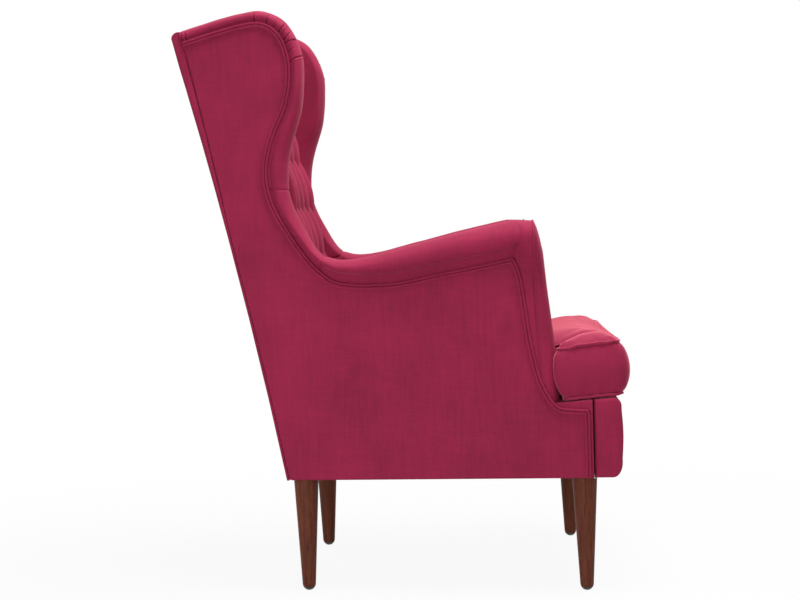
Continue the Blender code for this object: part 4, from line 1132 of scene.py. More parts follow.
def add_outside_back():
    """The outside back with its padded edge, square top corners and slightly crowned face."""
    top = BACK_HEIGHT
    edge_radius = 0.0045
    crown = 0.0035
    crown_from = 0.25
    low = np.linspace(GAP, top - BACK_CORNER, 60)
    turns = quarter(9)[1:]
    shares = np.linspace(1, -1, 31)[1:-1]
    rises = np.concatenate([low, top - BACK_CORNER + BACK_CORNER * np.sin(turns)])
    rear = np.concatenate([
        back_y(low), back_y(low[-1]) - BACK_CORNER * (1 - np.cos(turns))])
    front = back_inner_y(rises) + 2 * GAP
    rings = []
    for rise, y_rear, y_front in zip(rises, rear, front):
        radius = min(edge_radius, max(y_rear - y_front, 0.0) * 0.45)
        half = side_x(y_rear - radius)
        y_middle = (y_front + y_rear) / 2
        edge = [(half - 0.0008, y_front), (half, y_front + radius * 0.4),
                (side_x(y_middle) + 0.0004, y_middle)]
        edge += [(half - inwards, y_rear - back) for back, inwards in rounding(6, radius, radius)]
        swell = crown * ease(min(rise, top - rise) / crown_from)
        across = [((half - radius) * s, y_rear + swell * (1 - s * s)) for s in shares]
        right = [(-x, y) for x, y in edge[::-1]]
        hidden = [(side_x(y_front) * s, y_front) for s in (-0.6, 0.0, 0.6)]
        ring = np.array(edge + across + right + hidden)
        lift = BACK_CORNER_LIFT * ease((rise - top + 0.070) / 0.058)
        lift = lift * ease((np.abs(ring[:, 0]) / half - 0.72) / 0.15)
        rings.append(np.column_stack([ring, rise + BASE_Z + lift]))
    add_piece("outside_back_cover", lofted(rings), ["outer_back"])


def tuft_rows():
    """Height of each row of buttons and the sideways shift of its lattice."""
    return [(TUFT_TOP_RISE - row * TUFT_HEIGHT, 0.5 if row % 2 == 0 else 0.0)
            for row in range(TUFT_ROWS)]


def tufting(x, rise, pillow_depth, button_pull):
    """How far the cover stands behind the crown of its pillows."""
    sharpness = 0.50
    flute_share = 0.8
    fullness = 0.004
    button_reach = 0.015
    lowest = TUFT_TOP_RISE - (TUFT_ROWS - 1) * TUFT_HEIGHT
    margin = TUFT_HEIGHT * 0.15
    inside = ease((rise - lowest + margin) / (2 * margin))
    inside = inside * ease((TUFT_TOP_RISE + margin - rise) / (2 * margin))
    across = x / TUFT_WIDTH + 0.5
    down = (TUFT_TOP_RISE - rise) / TUFT_HEIGHT
    crease_a = np.abs(np.sin(math.pi * (across + down / 2)))
    crease_b = np.abs(np.sin(math.pi * (across - down / 2)))
    diamond = 1 - (crease_a * crease_b) ** sharpness
    above = np.clip((rise - TUFT_TOP_RISE) / TUFT_HEIGHT, 0, 2)
    below = np.clip((lowest - rise) / TUFT_HEIGHT, 0, 2)
    flute = 1 - np.abs(np.sin(math.pi * across)) ** sharpness
    strength = np.where(rise > (TUFT_TOP_RISE + lowest) / 2, 1 - above * 0.75, 1 - below * 0.6)
    depth = diamond * inside + flute * (1 - inside) * np.clip(strength, 0, 1) * flute_share
    depth = depth * pillow_depth - fullness * ease((rise - 0.20) / 0.10) * inside
    for row_rise, shift in tuft_rows():
        column = (np.round(x / TUFT_WIDTH - shift) + shift) * TUFT_WIDTH
        reach = np.hypot(x - column, rise - row_rise) / button_reach
        depth = depth + button_pull * np.exp(-reach ** 2)
    return depth


def back_pad_y(rise):
    """The crown of the inside back, which stands a little fuller at the head."""
    head = HEAD_FULLNESS * ease((rise - TUFT_TOP_RISE) / HEAD_EASE)
    return BACK_PAD_FOOT_Y + BACK_PAD_LEAN * rise - head


def add_tufted_back(pillow_depth, button_pull):
    """The inside back: tufted face, rolled head and plain return behind."""
    inset = ARM_THICKNESS + GAP
    lining_inset = TIMBER + LINING + 2 * GAP
    side_round = 0.016
    bottom = seat_z(BACK_PAD_FOOT_Y, 0.020) - BASE_Z
    shoulder = BACK_HEIGHT + 0.003 - BACK_PAD_TOP_RADIUS
    face = np.linspace(bottom, shoulder, 205)
    turns = quarter(15)[1:]
    centre_y = back_pad_y(shoulder) + BACK_PAD_TOP_RADIUS
    over_y = centre_y - BACK_PAD_TOP_RADIUS * np.cos(turns)
    over_rise = shoulder + BACK_PAD_TOP_RADIUS * np.sin(turns)
    rear_top = shoulder + BACK_PAD_TOP_RADIUS - 0.004
    flat_y = np.linspace(centre_y, back_inner_y(rear_top), 7)[1:]
    flat_rise = np.linspace(over_rise[-1], rear_top, 7)[1:]
    front_y = np.concatenate([back_pad_y(face), over_y, flat_y])
    front_rise = np.concatenate([face, over_rise, flat_rise])
    sink_y = np.concatenate([np.ones(len(face)), np.cos(turns), np.zeros(len(flat_y))])
    sink_rise = np.concatenate([np.zeros(len(face)), -np.sin(turns), -np.ones(len(flat_y))])
    fade = np.concatenate([
        np.ones(len(face)), np.linspace(1, 0.35, len(turns)), np.linspace(0.3, 0.0, len(flat_y))])
    behind_rise = np.array([LINING_TOP, 0.70, 0.5, 0.3, bottom])
    behind_y = back_inner_y(behind_rise) - np.array([0.0] + [lining_inset] * 4)
    half = side_x(front_y, inset)
    lattice_rise = np.concatenate([
        face, shoulder + BACK_PAD_TOP_RADIUS * turns,
        shoulder + BACK_PAD_TOP_RADIUS * math.pi / 2 + flat_y - centre_y])
    rings = []
    for share in np.linspace(-1, 1, 151):
        x = half * share
        depth = tufting(x, lattice_rise, pillow_depth, button_pull) * fade
        depth = depth + edge_round(half - np.abs(x), side_round) * 0.8 * (fade + 0.3)
        depth = depth - PAD_SIDE_FULLNESS * share ** 2 * fade * ease((lattice_rise - 0.22) / 0.12)
        front = np.column_stack([
            x, front_y + depth * sink_y, front_rise + depth * sink_rise + BASE_Z])
        behind = np.column_stack([side_x(behind_y, inset) * share, behind_y, behind_rise + BASE_Z])
        rings.append(np.concatenate([front, behind]))
    add_piece("tufted_back", lofted(rings), ["inside_back"], crease=75)


def add_buttons(radius, pillow_depth, button_pull):
    """Velvet-covered buttons seated in the pits of the tufting."""
    shells = Shells()
    lean = math.atan(BACK_PAD_LEAN)
    out = np.array([0.0, -math.cos(lean), math.sin(lean)])
    up = np.array([0.0, math.sin(lean), math.cos(lean)])
    right = np.array([1.0, 0.0, 0.0])
    profile = [(0.0, 0.0055), (0.30, 0.0053), (0.58, 0.0045), (0.80, 0.0031), (0.94, 0.0013),
               (1.0, -0.0006), (0.93, -0.0022), (0.7, -0.0030), (0.0, -0.0032)]
    turn = full_turn(28)
    round_the_button = np.cos(turn)[:, None] * right + np.sin(turn)[:, None] * up
    for row_rise, shift in tuft_rows():
        count = 4 if shift else 3
        for number in range(count):
            x = (number - (count - 1) / 2) * TUFT_WIDTH
            depth = tufting(np.array([x]), np.array([row_rise]), pillow_depth, button_pull)[0]
            depth -= PAD_SIDE_FULLNESS * (x / side_x(back_pad_y(row_rise), ARM_THICKNESS)) ** 2
            centre = np.array([x, back_pad_y(row_rise) + depth - 0.002, row_rise + BASE_Z])
            rings = []
            for share, height in profile:
                gathered = radius * share * (1 + 0.018 * np.cos(turn * 9) * share)
                rings.append(centre + out * height + round_the_button * gathered[:, None])
            shells.loft(rings)
    add_piece("covered_buttons", shells, crease=80)


# Loose cushion

def rounded_loop(corners, step):
    """A closed plan outline through (x, y, radius) corners, with points a step apart."""
    corners = np.array(corners)
    befores = np.roll(corners, 1, axis=0)
    afters = np.roll(corners, -1, axis=0)
    points = []
    for before, here, after in zip(befores, corners, afters):
        corner, radius = here[:2], here[2]
        back = unit(before[:2] - corner)
        ahead = unit(after[:2] - corner)
        start = corner + back * radius
        end = corner + ahead * radius
        for share in np.linspace(0, 1, 9):
            rest = 1 - share
            points.append(rest ** 2 * start + 2 * share * rest * corner + share ** 2 * end)
        run = after[:2] - ahead * after[2] - end
        for share in np.linspace(0, 1, max(int(np.linalg.norm(run) / step), 2) + 1)[1:-1]:
            points.append(end + run * share)
    return np.array(points)


def cushion_loop(step):
    """The seam line of the T cushion in plan, running anticlockwise."""
    stem_front = side_x(EAR_REAR_Y, CUSHION_SIDE)
    stem_rear = side_x(CUSHION_REAR_Y, CUSHION_SIDE)
    left = [
        (CUSHION_HALF_WIDTH, SEAT_FRONT_Y, 0.014),
        (CUSHION_HALF_WIDTH, EAR_REAR_Y, 0.012),
        (stem_front, EAR_REAR_Y, 0.009),
        (stem_rear, CUSHION_REAR_Y, 0.014),
    ]
    right = [(-x, y, radius) for x, y, radius in left[::-1]]
    loop = rounded_loop(right[-1:] + left + right[:-1], step)
    front = np.abs(loop[:, 1] - SEAT_FRONT_Y) < 0.002
    share = loop[:, 0] / CUSHION_HALF_WIDTH
    loop[:, 1] += np.where(front, 0.003 * (1 - share ** 2), 0.0)
    return loop


def ear_heel(x, y):
    """1 at the outer rear corner of each ear, fading out forward and inward of it."""
    inner, width, depth = 0.225, 0.075, 0.034
    return ease((np.abs(x) - inner) / width) * ease((y - EAR_REAR_Y + depth) / depth)


def seam_loop(step, top):
    """The seam line of one face: the top one draws back at the ears, the lower one juts forward."""
    loop = cushion_loop(step)
    x, y = loop.T
    if top:
        shift = EAR_DRAW * ear_heel(x, y) * ease((np.abs(x) - 0.310) / 0.028)
    else:
        shift = -0.0045 * ease((SEAT_FRONT_Y + 0.030 - y) / 0.030)
    return np.column_stack([x, y + shift * (y < EAR_REAR_Y + 0.002)])


def loop_normals(loop):
    """Plan normals of the seam line, pointing out."""
    along = unit(np.roll(loop, -1, axis=0) - np.roll(loop, 1, axis=0))
    return np.stack([along[:, 1], -along[:, 0]], axis=1)


def distance_to_loop(points, loop):
    """Distance in plan from each point to the seam line."""
    nearest = np.full(len(points), 9.0)
    for start, end in zip(loop, np.roll(loop, -1, axis=0)):
        line = end - start
        share = np.clip(((points - start) @ line) / (line @ line), 0, 1)
        away = points - start - share[:, None] * line
        nearest = np.minimum(nearest, np.linalg.norm(away, axis=1))
    return nearest


def ear_valley(x, y):
    """1 along the dip where each ear joins the middle of the cushion, fading out round it."""
    middle, width = side_x(EAR_REAR_Y, CUSHION_SIDE) + 0.006, 0.013
    off = (np.abs(x) - middle) / width
    forward = ease((EAR_REAR_Y + 0.012 - y) / 0.02) * ease((y - SEAT_FRONT_Y - 0.012) / 0.07)
    return np.exp(-off ** 2) * forward


def boxing_bulge(loop, normals):
    """How far the boxing swells beyond the seam line: most at the nose and behind the ears."""
    nose = np.clip(-normals[:, 1], 0, 1) * (loop[:, 1] < SEAT_FRONT_Y + 0.02)
    ear = np.clip(normals[:, 1], 0, 1) ** 0.6 * ease((np.abs(loop[:, 0]) - 0.318) / 0.024)
    return BOXING_SWELL + NOSE_SWELL * nose + HEEL_SWELL * ear


def cushion_swell(x, y, nearest, crown):
    """Height of the top above its seam: fullest behind the nose, with a pucker at each ear."""
    on_ear = ease((np.abs(x) - 0.262) / 0.026) * ease((EAR_REAR_Y + 0.012 - y) / 0.024)
    share = np.clip(nearest / (0.065 - 0.022 * on_ear), 0, 1)
    sat_on = ease((y + 0.345) / 0.085)
    full = crown * (1 - SAT_ON_LOSS * sat_on) * (1 - EAR_LOSS * on_ear)
    height = full * (1 - (1 - share) ** CROWN_ROUNDNESS)
    heel = ear_heel(x, y) * ease((np.abs(x) - 0.292) / 0.030)
    height = height + EAR_HEEL * heel * (1 - (1 - np.minimum(nearest / 0.012, 1)) ** 2)
    return height - VALLEY_DEPTH * ear_valley(x, y) * np.minimum(nearest / 0.030, 1)


def row_of(mesh_edit, plan, height):
    """A row of points from their plan and their heights."""
    return [mesh_edit.verts.new((x, y, z)) for (x, y), z in zip(plan, height)]


def join_rows(mesh_edit, row, following):
    """Faces between two closed rows of as many points."""
    for index in range(len(row)):
        ahead = (index + 1) % len(row)
        mesh_edit.faces.new((row[index], row[ahead], following[ahead], following[index]))


def add_boxing(mesh_edit, loop, normals):
    """The boxing between the two seams, as rows of points from the lower seam up."""
    roundness = 0.55
    bulge = boxing_bulge(loop, normals)
    high_loop = seam_loop(COVER_STEP, True)
    low_loop = seam_loop(COVER_STEP, False)
    rows = []
    for share in np.linspace(0, 1, BOXING_ROWS + 1):
        line = low_loop + (high_loop - low_loop) * share
        swell = bulge * max(math.sin(math.pi * share), 0.0) ** roundness
        rise = CUSHION_BELLY + CUSHION_BOXING * share - EAR_DROP * share * ear_heel(*line.T)
        height = seat_z(line[:, 1], rise)
        rows.append(row_of(mesh_edit, line + normals * swell[:, None], height))
    for row, following in zip(rows, rows[1:]):
        join_rows(mesh_edit, row, following)
    return rows


def add_cushion_face(mesh_edit, row, top, loop, normals, height):
    """One face of the cushion: its creased seam, two rows close inside it and a grid of cells."""
    sharpness = 0.8
    crease = mesh_edit.edges.layers.float["crease_edge"]
    for index in range(len(row)):
        ahead = row[(index + 1) % len(row)]
        mesh_edit.edges.get((row[index], ahead))[crease] = sharpness
    for offset in (0.004, 0.009):
        plan = seam_loop(COVER_STEP, top) - normals * offset
        inner = row_of(mesh_edit, plan, height(plan[:, 0], plan[:, 1], offset))
        join_rows(mesh_edit, row, inner)
        row = inner
    cells = plan_cells(loop, CELL, CELL_CLEAR)
    corners = {
        key: mesh_edit.verts.new((x, y, float(height(x, y, nearest))))
        for key, (x, y, nearest) in cells["points"].items()}
    for face in cells["faces"]:
        mesh_edit.faces.new([corners[key] for key in face])
    stitch(mesh_edit, [corners[key] for key in cells["rim"]], row)


def add_seat_cushion(settings):
    """The T cushion, blown up by a short cloth simulation between its piped seams."""
    def upper(x, y, nearest):
        swell = cushion_swell(x, y, nearest, settings.crown)
        return seat_z(y, CUSHION_TOP + swell - EAR_DROP * ear_heel(x, y))

    def belly(_, y, nearest):
        share = 1 - np.minimum(nearest / 0.04, 1)
        return seat_z(y, CUSHION_BELLY - (CUSHION_BELLY - GAP) * (1 - share ** CROWN_ROUNDNESS))

    loop = cushion_loop(COVER_STEP)
    normals = loop_normals(loop)
    mesh_edit = bmesh.new()
    mesh_edit.edges.layers.float.new("crease_edge")
    rows = add_boxing(mesh_edit, loop, normals)
    add_cushion_face(mesh_edit, rows[-1], True, loop, normals, upper)
    add_cushion_face(mesh_edit, rows[0], False, loop, normals, belly)
    bmesh.ops.recalc_face_normals(mesh_edit, faces=mesh_edit.faces)
    mesh = bpy.data.meshes.new("seat_cushion_cover")
    mesh_edit.to_mesh(mesh)
    mesh_edit.free()
    cushion = add_object("seat_cushion_cover", mesh)
    inflate(cushion, len(loop), settings)
    pucker(cushion, loop, settings)
    enter(cushion, "cushion_velvet", "cushion", ["seat_cushion"])


def plan_cells(loop, size, clear):
    """Square cells of a plan outline that lie clear of it, their rim and their points."""
    low = loop.min(axis=0)
    high = loop.max(axis=0)
    xs = np.arange(math.ceil(low[0] / size), math.floor(high[0] / size) + 1) * size
    ys = low[1] + size * 0.9 + np.arange(int((high[1] - low[1]) / size)) * size
    grid_x, grid_y = np.meshgrid(xs, ys, indexing="ij")
    flat = np.stack([grid_x.ravel(), grid_y.ravel()], axis=1)
    nearest = distance_to_loop(flat, loop)
    inside = inside_loop(flat, loop) & (nearest > clear)
    keep = inside.reshape(grid_x.shape)
    faces = []
    for i in range(len(xs) - 1):
        for j in range(len(ys) - 1):
            if keep[i:i + 2, j:j + 2].all():
                faces.append(((i, j), (i + 1, j), (i + 1, j + 1), (i, j + 1)))
    directed = set()
    for face in faces:
        directed.update(zip(face, face[1:] + face[:1]))
    onward = {start: end for start, end in directed if (end, start) not in directed}
    start = min(onward)
    rim = [start]
    while onward[rim[-1]] != start:
        rim.append(onward[rim[-1]])
    used = {key for face in faces for key in face}
    nearest = nearest.reshape(grid_x.shape)
    points = {(i, j): (float(xs[i]), float(ys[j]), float(nearest[i, j])) for i, j in used}
    return {"faces": faces, "rim": rim, "points": points}


def inside_loop(points, loop):
    """Which plan points lie inside a closed outline."""
    inside = np.zeros(len(points), bool)
    for (ax, ay), (bx, by) in zip(loop, np.roll(loop, -1, axis=0)):
        crosses = (ay > points[:, 1]) != (by > points[:, 1])
        if ay != by:
            at = (bx - ax) * (points[:, 1] - ay) / (by - ay) + ax
            inside ^= crosses & (points[:, 0] < at)
    return inside


def stitch(mesh_edit, inner, outer):
    """Triangles between two closed rows of points that run the same way round."""
    start = min(range(len(outer)), key=lambda k: (outer[k].co - inner[0].co).length)
    outer = outer[start:] + outer[:start]
    i = j = 0
    while i < len(inner) or j < len(outer):
        here_in = inner[i % len(inner)]
        here_out = outer[j % len(outer)]
        next_in = inner[(i + 1) % len(inner)]
        next_out = outer[(j + 1) % len(outer)]
        step_in = (next_in.co - here_out.co).length if i < len(inner) else 1e9
        step_out = (next_out.co - here_in.co).length if j < len(outer) else 1e9
        if step_in < step_out:
            mesh_edit.faces.new((here_in, next_in, here_out))
            i += 1
        else:
            mesh_edit.faces.new((here_in, next_out, here_out))
            j += 1


def bake_modifiers(piece):
    """Write the piece's modifiers into its mesh."""
    depsgraph = bpy.context.evaluated_depsgraph_get()
    depsgraph.update()
    done = bpy.data.meshes.new_from_object(piece.evaluated_get(depsgraph), depsgraph=depsgraph)
    piece.modifiers.clear()
    piece.data = done


def vertex_values(mesh, kind="co"):
    """The places or normals of a mesh's vertices."""
    values = np.empty(len(mesh.vertices) * 3)
    mesh.vertices.foreach_get(kind, values)
    return values.reshape(-1, 3)


def write_coordinates(mesh, places):
    """Move a mesh's vertices to their new places."""
    mesh.vertices.foreach_set("co", np.ascontiguousarray(places, float).ravel())
    mesh.update()


def seam_shares(places, loop):
    """Distance of each point from the nearer of the cushion's two seams."""
    plan = distance_to_loop(places[:, :2], loop)
    rise = places[:, 2] - seat_z(places[:, 1])
    high = CUSHION_TOP - EAR_DROP * ear_heel(*places[:, :2].T)
    return np.hypot(plan, np.minimum(np.abs(rise - CUSHION_BELLY), np.abs(rise - high)))


def inflate(cushion, count, settings):
    """Swell the cushion with a short cloth simulation, its seams and underside held."""
    scene = bpy.context.scene
    start = vertex_values(cushion.data)
    order = np.arange(len(start))
    seam = (order < count) | (order // count == BOXING_ROWS)
    rise = start[:, 2] - seat_z(start[:, 1])
    held = cushion.vertex_groups.new(name="held")
    zip_side = (start[:, 1] > CUSHION_REAR_Y - 0.001) & (np.abs(start[:, 0]) < ZIP_HALF + 0.008)
    for index in np.nonzero(seam | (rise < 0.0045) | zip_side)[0]:
        held.add([int(index)], 1.0, "REPLACE")
    cloth = cushion.modifiers.new("swelling", "CLOTH")
    cloth.settings.vertex_group_mass = "held"
    cloth.settings.use_pressure = True
    cloth.settings.uniform_pressure_force = settings.pressure
    cloth.settings.tension_stiffness = 12
    cloth.settings.compression_stiffness = 12
    cloth.settings.bending_stiffness = 0.4
    cloth.settings.shrink_min = -0.012
    cloth.settings.effector_weights.gravity = 0.0
    cloth.settings.quality = 6
    cloth.point_cache.frame_start = 1
    cloth.point_cache.frame_end = settings.frames
    for number in range(1, settings.frames + 1):
        scene.frame_set(number)
    depsgraph = bpy.context.evaluated_depsgraph_get()
    swollen = vertex_values(cushion.evaluated_get(depsgraph).to_mesh())
    move = swollen - start
    length = np.linalg.norm(move, axis=1, keepdims=True)
    move *= np.minimum(1.0, settings.swell_limit / np.maximum(length, 1e-9))
    cushion.modifiers.clear()
    cushion.vertex_groups.clear()
    scene.frame_set(1)
    write_coordinates(cushion.data, start + move)


def pucker(cushion, loop, settings):
    """One subdivision, then the small gathers that the seams draw into the velvet."""
    divide = cushion.modifiers.new("divide", "SUBSURF")
    divide.levels = divide.render_levels = 1
    bake_modifiers(cushion)
    mesh = cushion.data
    places = vertex_values(mesh)
    normals = vertex_values(mesh, "normal")
    seam = seam_shares(places, loop)
    run = places[:, 0] + places[:, 1] * 0.97
    turn = places[:, 0] - places[:, 1] * 1.03
    gathers = (np.sin(run * 310 + np.sin(turn * 57) * 2.0) * 0.5
               + np.sin(turn * 263 + np.sin(run * 43) * 2.4) * 0.5)
    near = np.exp(-(seam / GATHER_REACH) ** 1.5)
    soft = (np.sin(run * 37 + 1.1) * np.sin(turn * 29 + 0.4) * 0.6
            + np.sin(run * 83 + 2.0) * np.sin(turn * 71) * 0.25)
    dent = -STITCH_DEPTH * np.exp(-(seam / 0.003) ** 2)
    on_top = places[:, 2] > seat_z(places[:, 1], CUSHION_TOP)
    creases = np.sin(places[:, 1] * 260 + 1.6 * np.sin(places[:, 0] * 55)) * on_top
    move = (settings.gather_depth * gathers * near + SOFT_DEPTH * soft * (1 - near) + dent
            + CREASE_DEPTH * creases * ear_valley(places[:, 0], places[:, 1]))
    write_coordinates(mesh, places + normals * move[:, None])


def add_cushion_welts(radius):
    """The two piped seams round the cushion."""
    stand = radius - 0.0009
    for name, rise, lift in (("top", CUSHION_TOP, 1), ("bottom", CUSHION_BELLY, -1)):
        loop = seam_loop(0.0045, name == "top")
        normals = loop_normals(loop)
        run = run_along(loop)
        wobble = (np.sin(run * 290) * 0.5 + np.sin(run * 173 + 1.3) * 0.5) * 0.0008
        heel = ear_heel(*loop.T) * (lift > 0)
        plan = loop + normals * (stand * 0.8 * (1 - 0.6 * heel) + wobble * 0.6)[:, None]
        height = seat_z(loop[:, 1], rise + lift * stand * 0.6 * (1 - heel) - EAR_DROP * heel)
        height = height + wobble * lift
        path = np.column_stack([plan, height])
        out = np.column_stack([normals, np.zeros(len(loop))])
        thick = radius * (1 + 0.05 * np.sin(run * 350 + rise * 90))
        cord = lofted(sweep_rings(path, thick, 12, out, closed=True), closed=True)
        add_piece("cushion_welt_cover_" + name, cord, ["cushion_welt_" + name],
                  "cushion_velvet", body="cushion")


def add_zip():
    """The closed zip across the back of the cushion's boxing: two tapes and a row of teeth."""
    rear = CUSHION_REAR_Y
    middle = CUSHION_BELLY + CUSHION_BOXING / 2
    tape_offset = 0.0062
    tape_stand = 0.0050
    tape_half = 0.0045
    tape_face = 0.0040
    tape_thickness = 0.0008
    teeth_count = 120
    stagger = 0.0006
    tapes = Shells()
    for centre in (middle + tape_offset, middle - tape_offset):
        rings = []
        for x in np.linspace(-ZIP_HALF, ZIP_HALF, 60):
            y = rear + tape_stand + 0.0002 * math.sin(x * 90)
            y_face = y + tape_thickness
            ring = [(y, centre - tape_half), (y_face, centre - tape_face),
                    (y_face, centre + tape_face), (y, centre + tape_half)]
            rings.append([(x, py, seat_z(rear, pz)) for py, pz in ring])
        tapes.loft(rings)
    add_piece("zip_tapes", tapes, (), "deck_cloth", body="cushion")
    teeth = Shells()
    for number, x in enumerate(np.linspace(-ZIP_HALF + 0.003, ZIP_HALF - 0.003, teeth_count)):
        z = seat_z(rear, middle + (stagger if number % 2 else -stagger))
        rings = []
        for y, size in ((rear + 0.0052, 0.0009), (rear + 0.0066, 0.0011), (rear + 0.0072, 0.0007)):
            rings.append([(x + size * across, y, z + 1.3 * size * up)
                          for across, up in ((-1, -1), (1, -1), (1, 1), (-1, 1))])
        teeth.loft(rings)
    add_piece("zip_teeth", teeth, (), "plated_steel", body="cushion")


# Seat platform, linings and legs

def add_seat_deck():
    """The platform under the cushion, faced with velvet at its front."""
    inset = ARM_THICKNESS + GAP
    rear = back_inner_y(seat_z(BACK_FOOT_Y, -DECK_THICKNESS) - BASE_Z) - 0.002
    seam = BASE_FRONT_Y + 0.090
    edge = np.array([0.0, 0.0006, 0.0015, 0.003])
    side = np.array([1, 0.995, 0.985, 0.96])
    shares = np.concatenate([-side, np.linspace(-0.93, 0.93, 25), side[::-1]])
    for name, start, end, finish, slot, replaced in (
            ("deck_front", BASE_FRONT_Y, seam, "velvet", "velvet", []),
            ("deck_cloth", seam, rear, "deck_cloth", "lining", ["seat_deck"])):
        middle = np.linspace(start + 0.008, end - 0.008, 24)
        rings = []
        for y in (*(start + edge), *middle, *(end - edge[::-1])):
            dip = edge_round(min(y - start, end - y), 0.003)
            half = side_x(y, inset)
            x = half * shares
            z = seat_z(y, -GAP) - dip - edge_round(half - np.abs(x), 0.004)
            z = z - 0.0008 * (1 + np.sin(x * 21 + y * 17) * np.sin(y * 31)) * 0.5
            depths = np.full(len(x), y)
            under = np.full(len(x), seat_z(y, -DECK_THICKNESS))
            rings.append(np.concatenate([
                np.column_stack([x, depths, z]), np.column_stack([x[::-1], depths, under])]))
        add_piece(name, lofted(rings), replaced, finish)


def add_cloth(name, points, faces, thickness, stands_for):
    """A thin cloth, drawn as one sheet and given its thickness."""
    mesh = bpy.data.meshes.new(name)
    mesh.from_pydata(points, [], faces)
    piece = add_object(name, mesh)
    enter(piece, "lining", "chair", [stands_for])
    solid = piece.modifiers.new("thickness", "SOLIDIFY")
    solid.thickness = thickness
    solid.offset = 0.0


def add_dust_cover():
    """Black cloth stapled under the frame and cut away round the legs."""
    front = BASE_FRONT_Y + 0.012
    rear = BACK_FOOT_Y - 0.012
    notch = 0.026
    front_notch = FRONT_LEG_Y + notch
    rear_notch = REAR_LEG_Y - notch
    ys = np.concatenate([
        np.linspace(front, front_notch, 4), np.linspace(front_notch, rear_notch, 22)[1:],
        np.linspace(rear_notch, rear, 5)[1:]])
    columns = 24
    cut_columns = 2
    sag_depth = 0.0022
    kept = 1 - 2 * cut_columns / columns
    inset = 0.012
    points = []
    for y in ys:
        wide = side_x(y, inset)
        narrow = side_x(y, LEG_INSET + notch)
        for share in np.linspace(-1, 1, columns + 1):
            reach = np.interp(abs(share), (0, kept, 1), (0, narrow, wide))
            x = math.copysign(reach, share)
            bay = math.sin(math.pi * (y - front) / (rear - front))
            sag = sag_depth * (1 - (x / wide) ** 2) * bay
            points.append((x, y, BASE_Z - 0.0005 - max(sag, 0.0)))
    faces = []
    for face in grid_faces(len(ys) - 1, columns):
        row, column = divmod(face[0], columns + 1)
        middle = (ys[row] + ys[row + 1]) / 2
        at_leg = middle < front_notch or middle > rear_notch
        if not at_leg or cut_columns <= column < columns - cut_columns:
            faces.append(face)
    add_cloth("dust_cloth", points, faces, 0.0008,
              "dust_cover")


def add_back_lining():
    """Cloth stretched over the back rails, behind the tufted pad."""
    low = 0.200
    rises = np.unique(np.concatenate([np.linspace(low, LINING_TOP, 26), back_levels()[3:6]]))
    rises = rises[(rises >= low) & (rises <= LINING_TOP)]
    points = []
    columns = 20
    for rise in rises:
        y = back_inner_y(rise, TIMBER + GAP + LINING / 2)
        for share in np.linspace(-1, 1, columns + 1):
            points.append((side_x(y, ARM_THICKNESS + GAP) * share, y, rise + BASE_Z))
    add_cloth("back_lining_cloth", points, grid_faces(len(rises) - 1, columns), 0.0016,
              "back_lining")


def turned(profile, x, y, sides=48):
    """A round piece turned to a profile of (radius, height) points."""
    turn = full_turn(sides)
    return lofted([
        np.column_stack([x + radius * np.cos(turn), y + radius * np.sin(turn), np.full(sides, z)])
        for radius, z in profile])


def foot_radius(z):
    """Radius of the rounded foot, which the leg and its glide share."""
    return FOOT_RADIUS * math.sqrt(1 - ((FOOT_ROUND - z) / FOOT_CURVE) ** 2)


def add_legs():
    """Four tapered legs that round over onto their glides."""
    foot = GLIDE_HEIGHT + GAP
    top = foot + LEG_LENGTH
    widening = LEG_TOP_RADIUS - FOOT_RADIUS
    straight = top - 0.0015 - FOOT_ROUND
    leg = [(AXIS_RADIUS, foot), (0.0070, foot)]
    leg += [(foot_radius(z), z) for z in np.linspace(foot, FOOT_ROUND, 8)]
    leg += [(FOOT_RADIUS + widening * share, FOOT_ROUND + straight * share)
            for share in np.linspace(0, 1, 25)[1:]]
    leg += [(LEG_TOP_RADIUS - 0.0005, top - 0.0004), (LEG_TOP_RADIUS - 0.0015, top),
            (BOLT_HOLE_RADIUS, top), (BOLT_HOLE_RADIUS, top - BOLT_HOLE_DEPTH),
            (AXIS_RADIUS, top - BOLT_HOLE_DEPTH)]
    glide = [(foot_radius(z), z) for z in GLIDE_HEIGHT * np.linspace(0, 1, 9) ** 2]
    glide = [(AXIS_RADIUS, 0.0)] + glide + [(AXIS_RADIUS, GLIDE_HEIGHT)]
    for end, y in (("front", FRONT_LEG_Y), ("rear", REAR_LEG_Y)):
        for side, hand in SIDES:
            x = side * side_x(y, LEG_INSET)
            corner = "%s_%s" % (end, hand)
            add_piece("turned_leg_" + corner, turned(leg, x, y), ["leg_" + corner],
                      "walnut", crease=50)
            add_piece("leg_glide_" + corner, turned(glide, x, y), ["glide_" + corner],
                      "glide_plastic", crease=50)


def add_toe_tacks():
    """The plated tack that ends the seam between each toe and the border."""
    head = [(AXIS_RADIUS, -0.0010), (0.0010, -0.0009), (0.0018, -0.0002), (0.0020, 0.0006),
            (0.0007, 0.0010), (AXIS_RADIUS, 0.0060)]
    profile = [(radius, BASE_Z + height) for radius, height in head]
    for side, name in SIDES:
        x = side * side_x(BASE_FRONT_Y, 0.006)
        tack = turned(profile, x, BASE_FRONT_Y - 0.0011, 20)
        add_piece("toe_tack_" + name, tack, (), "plated_steel", crease=50)


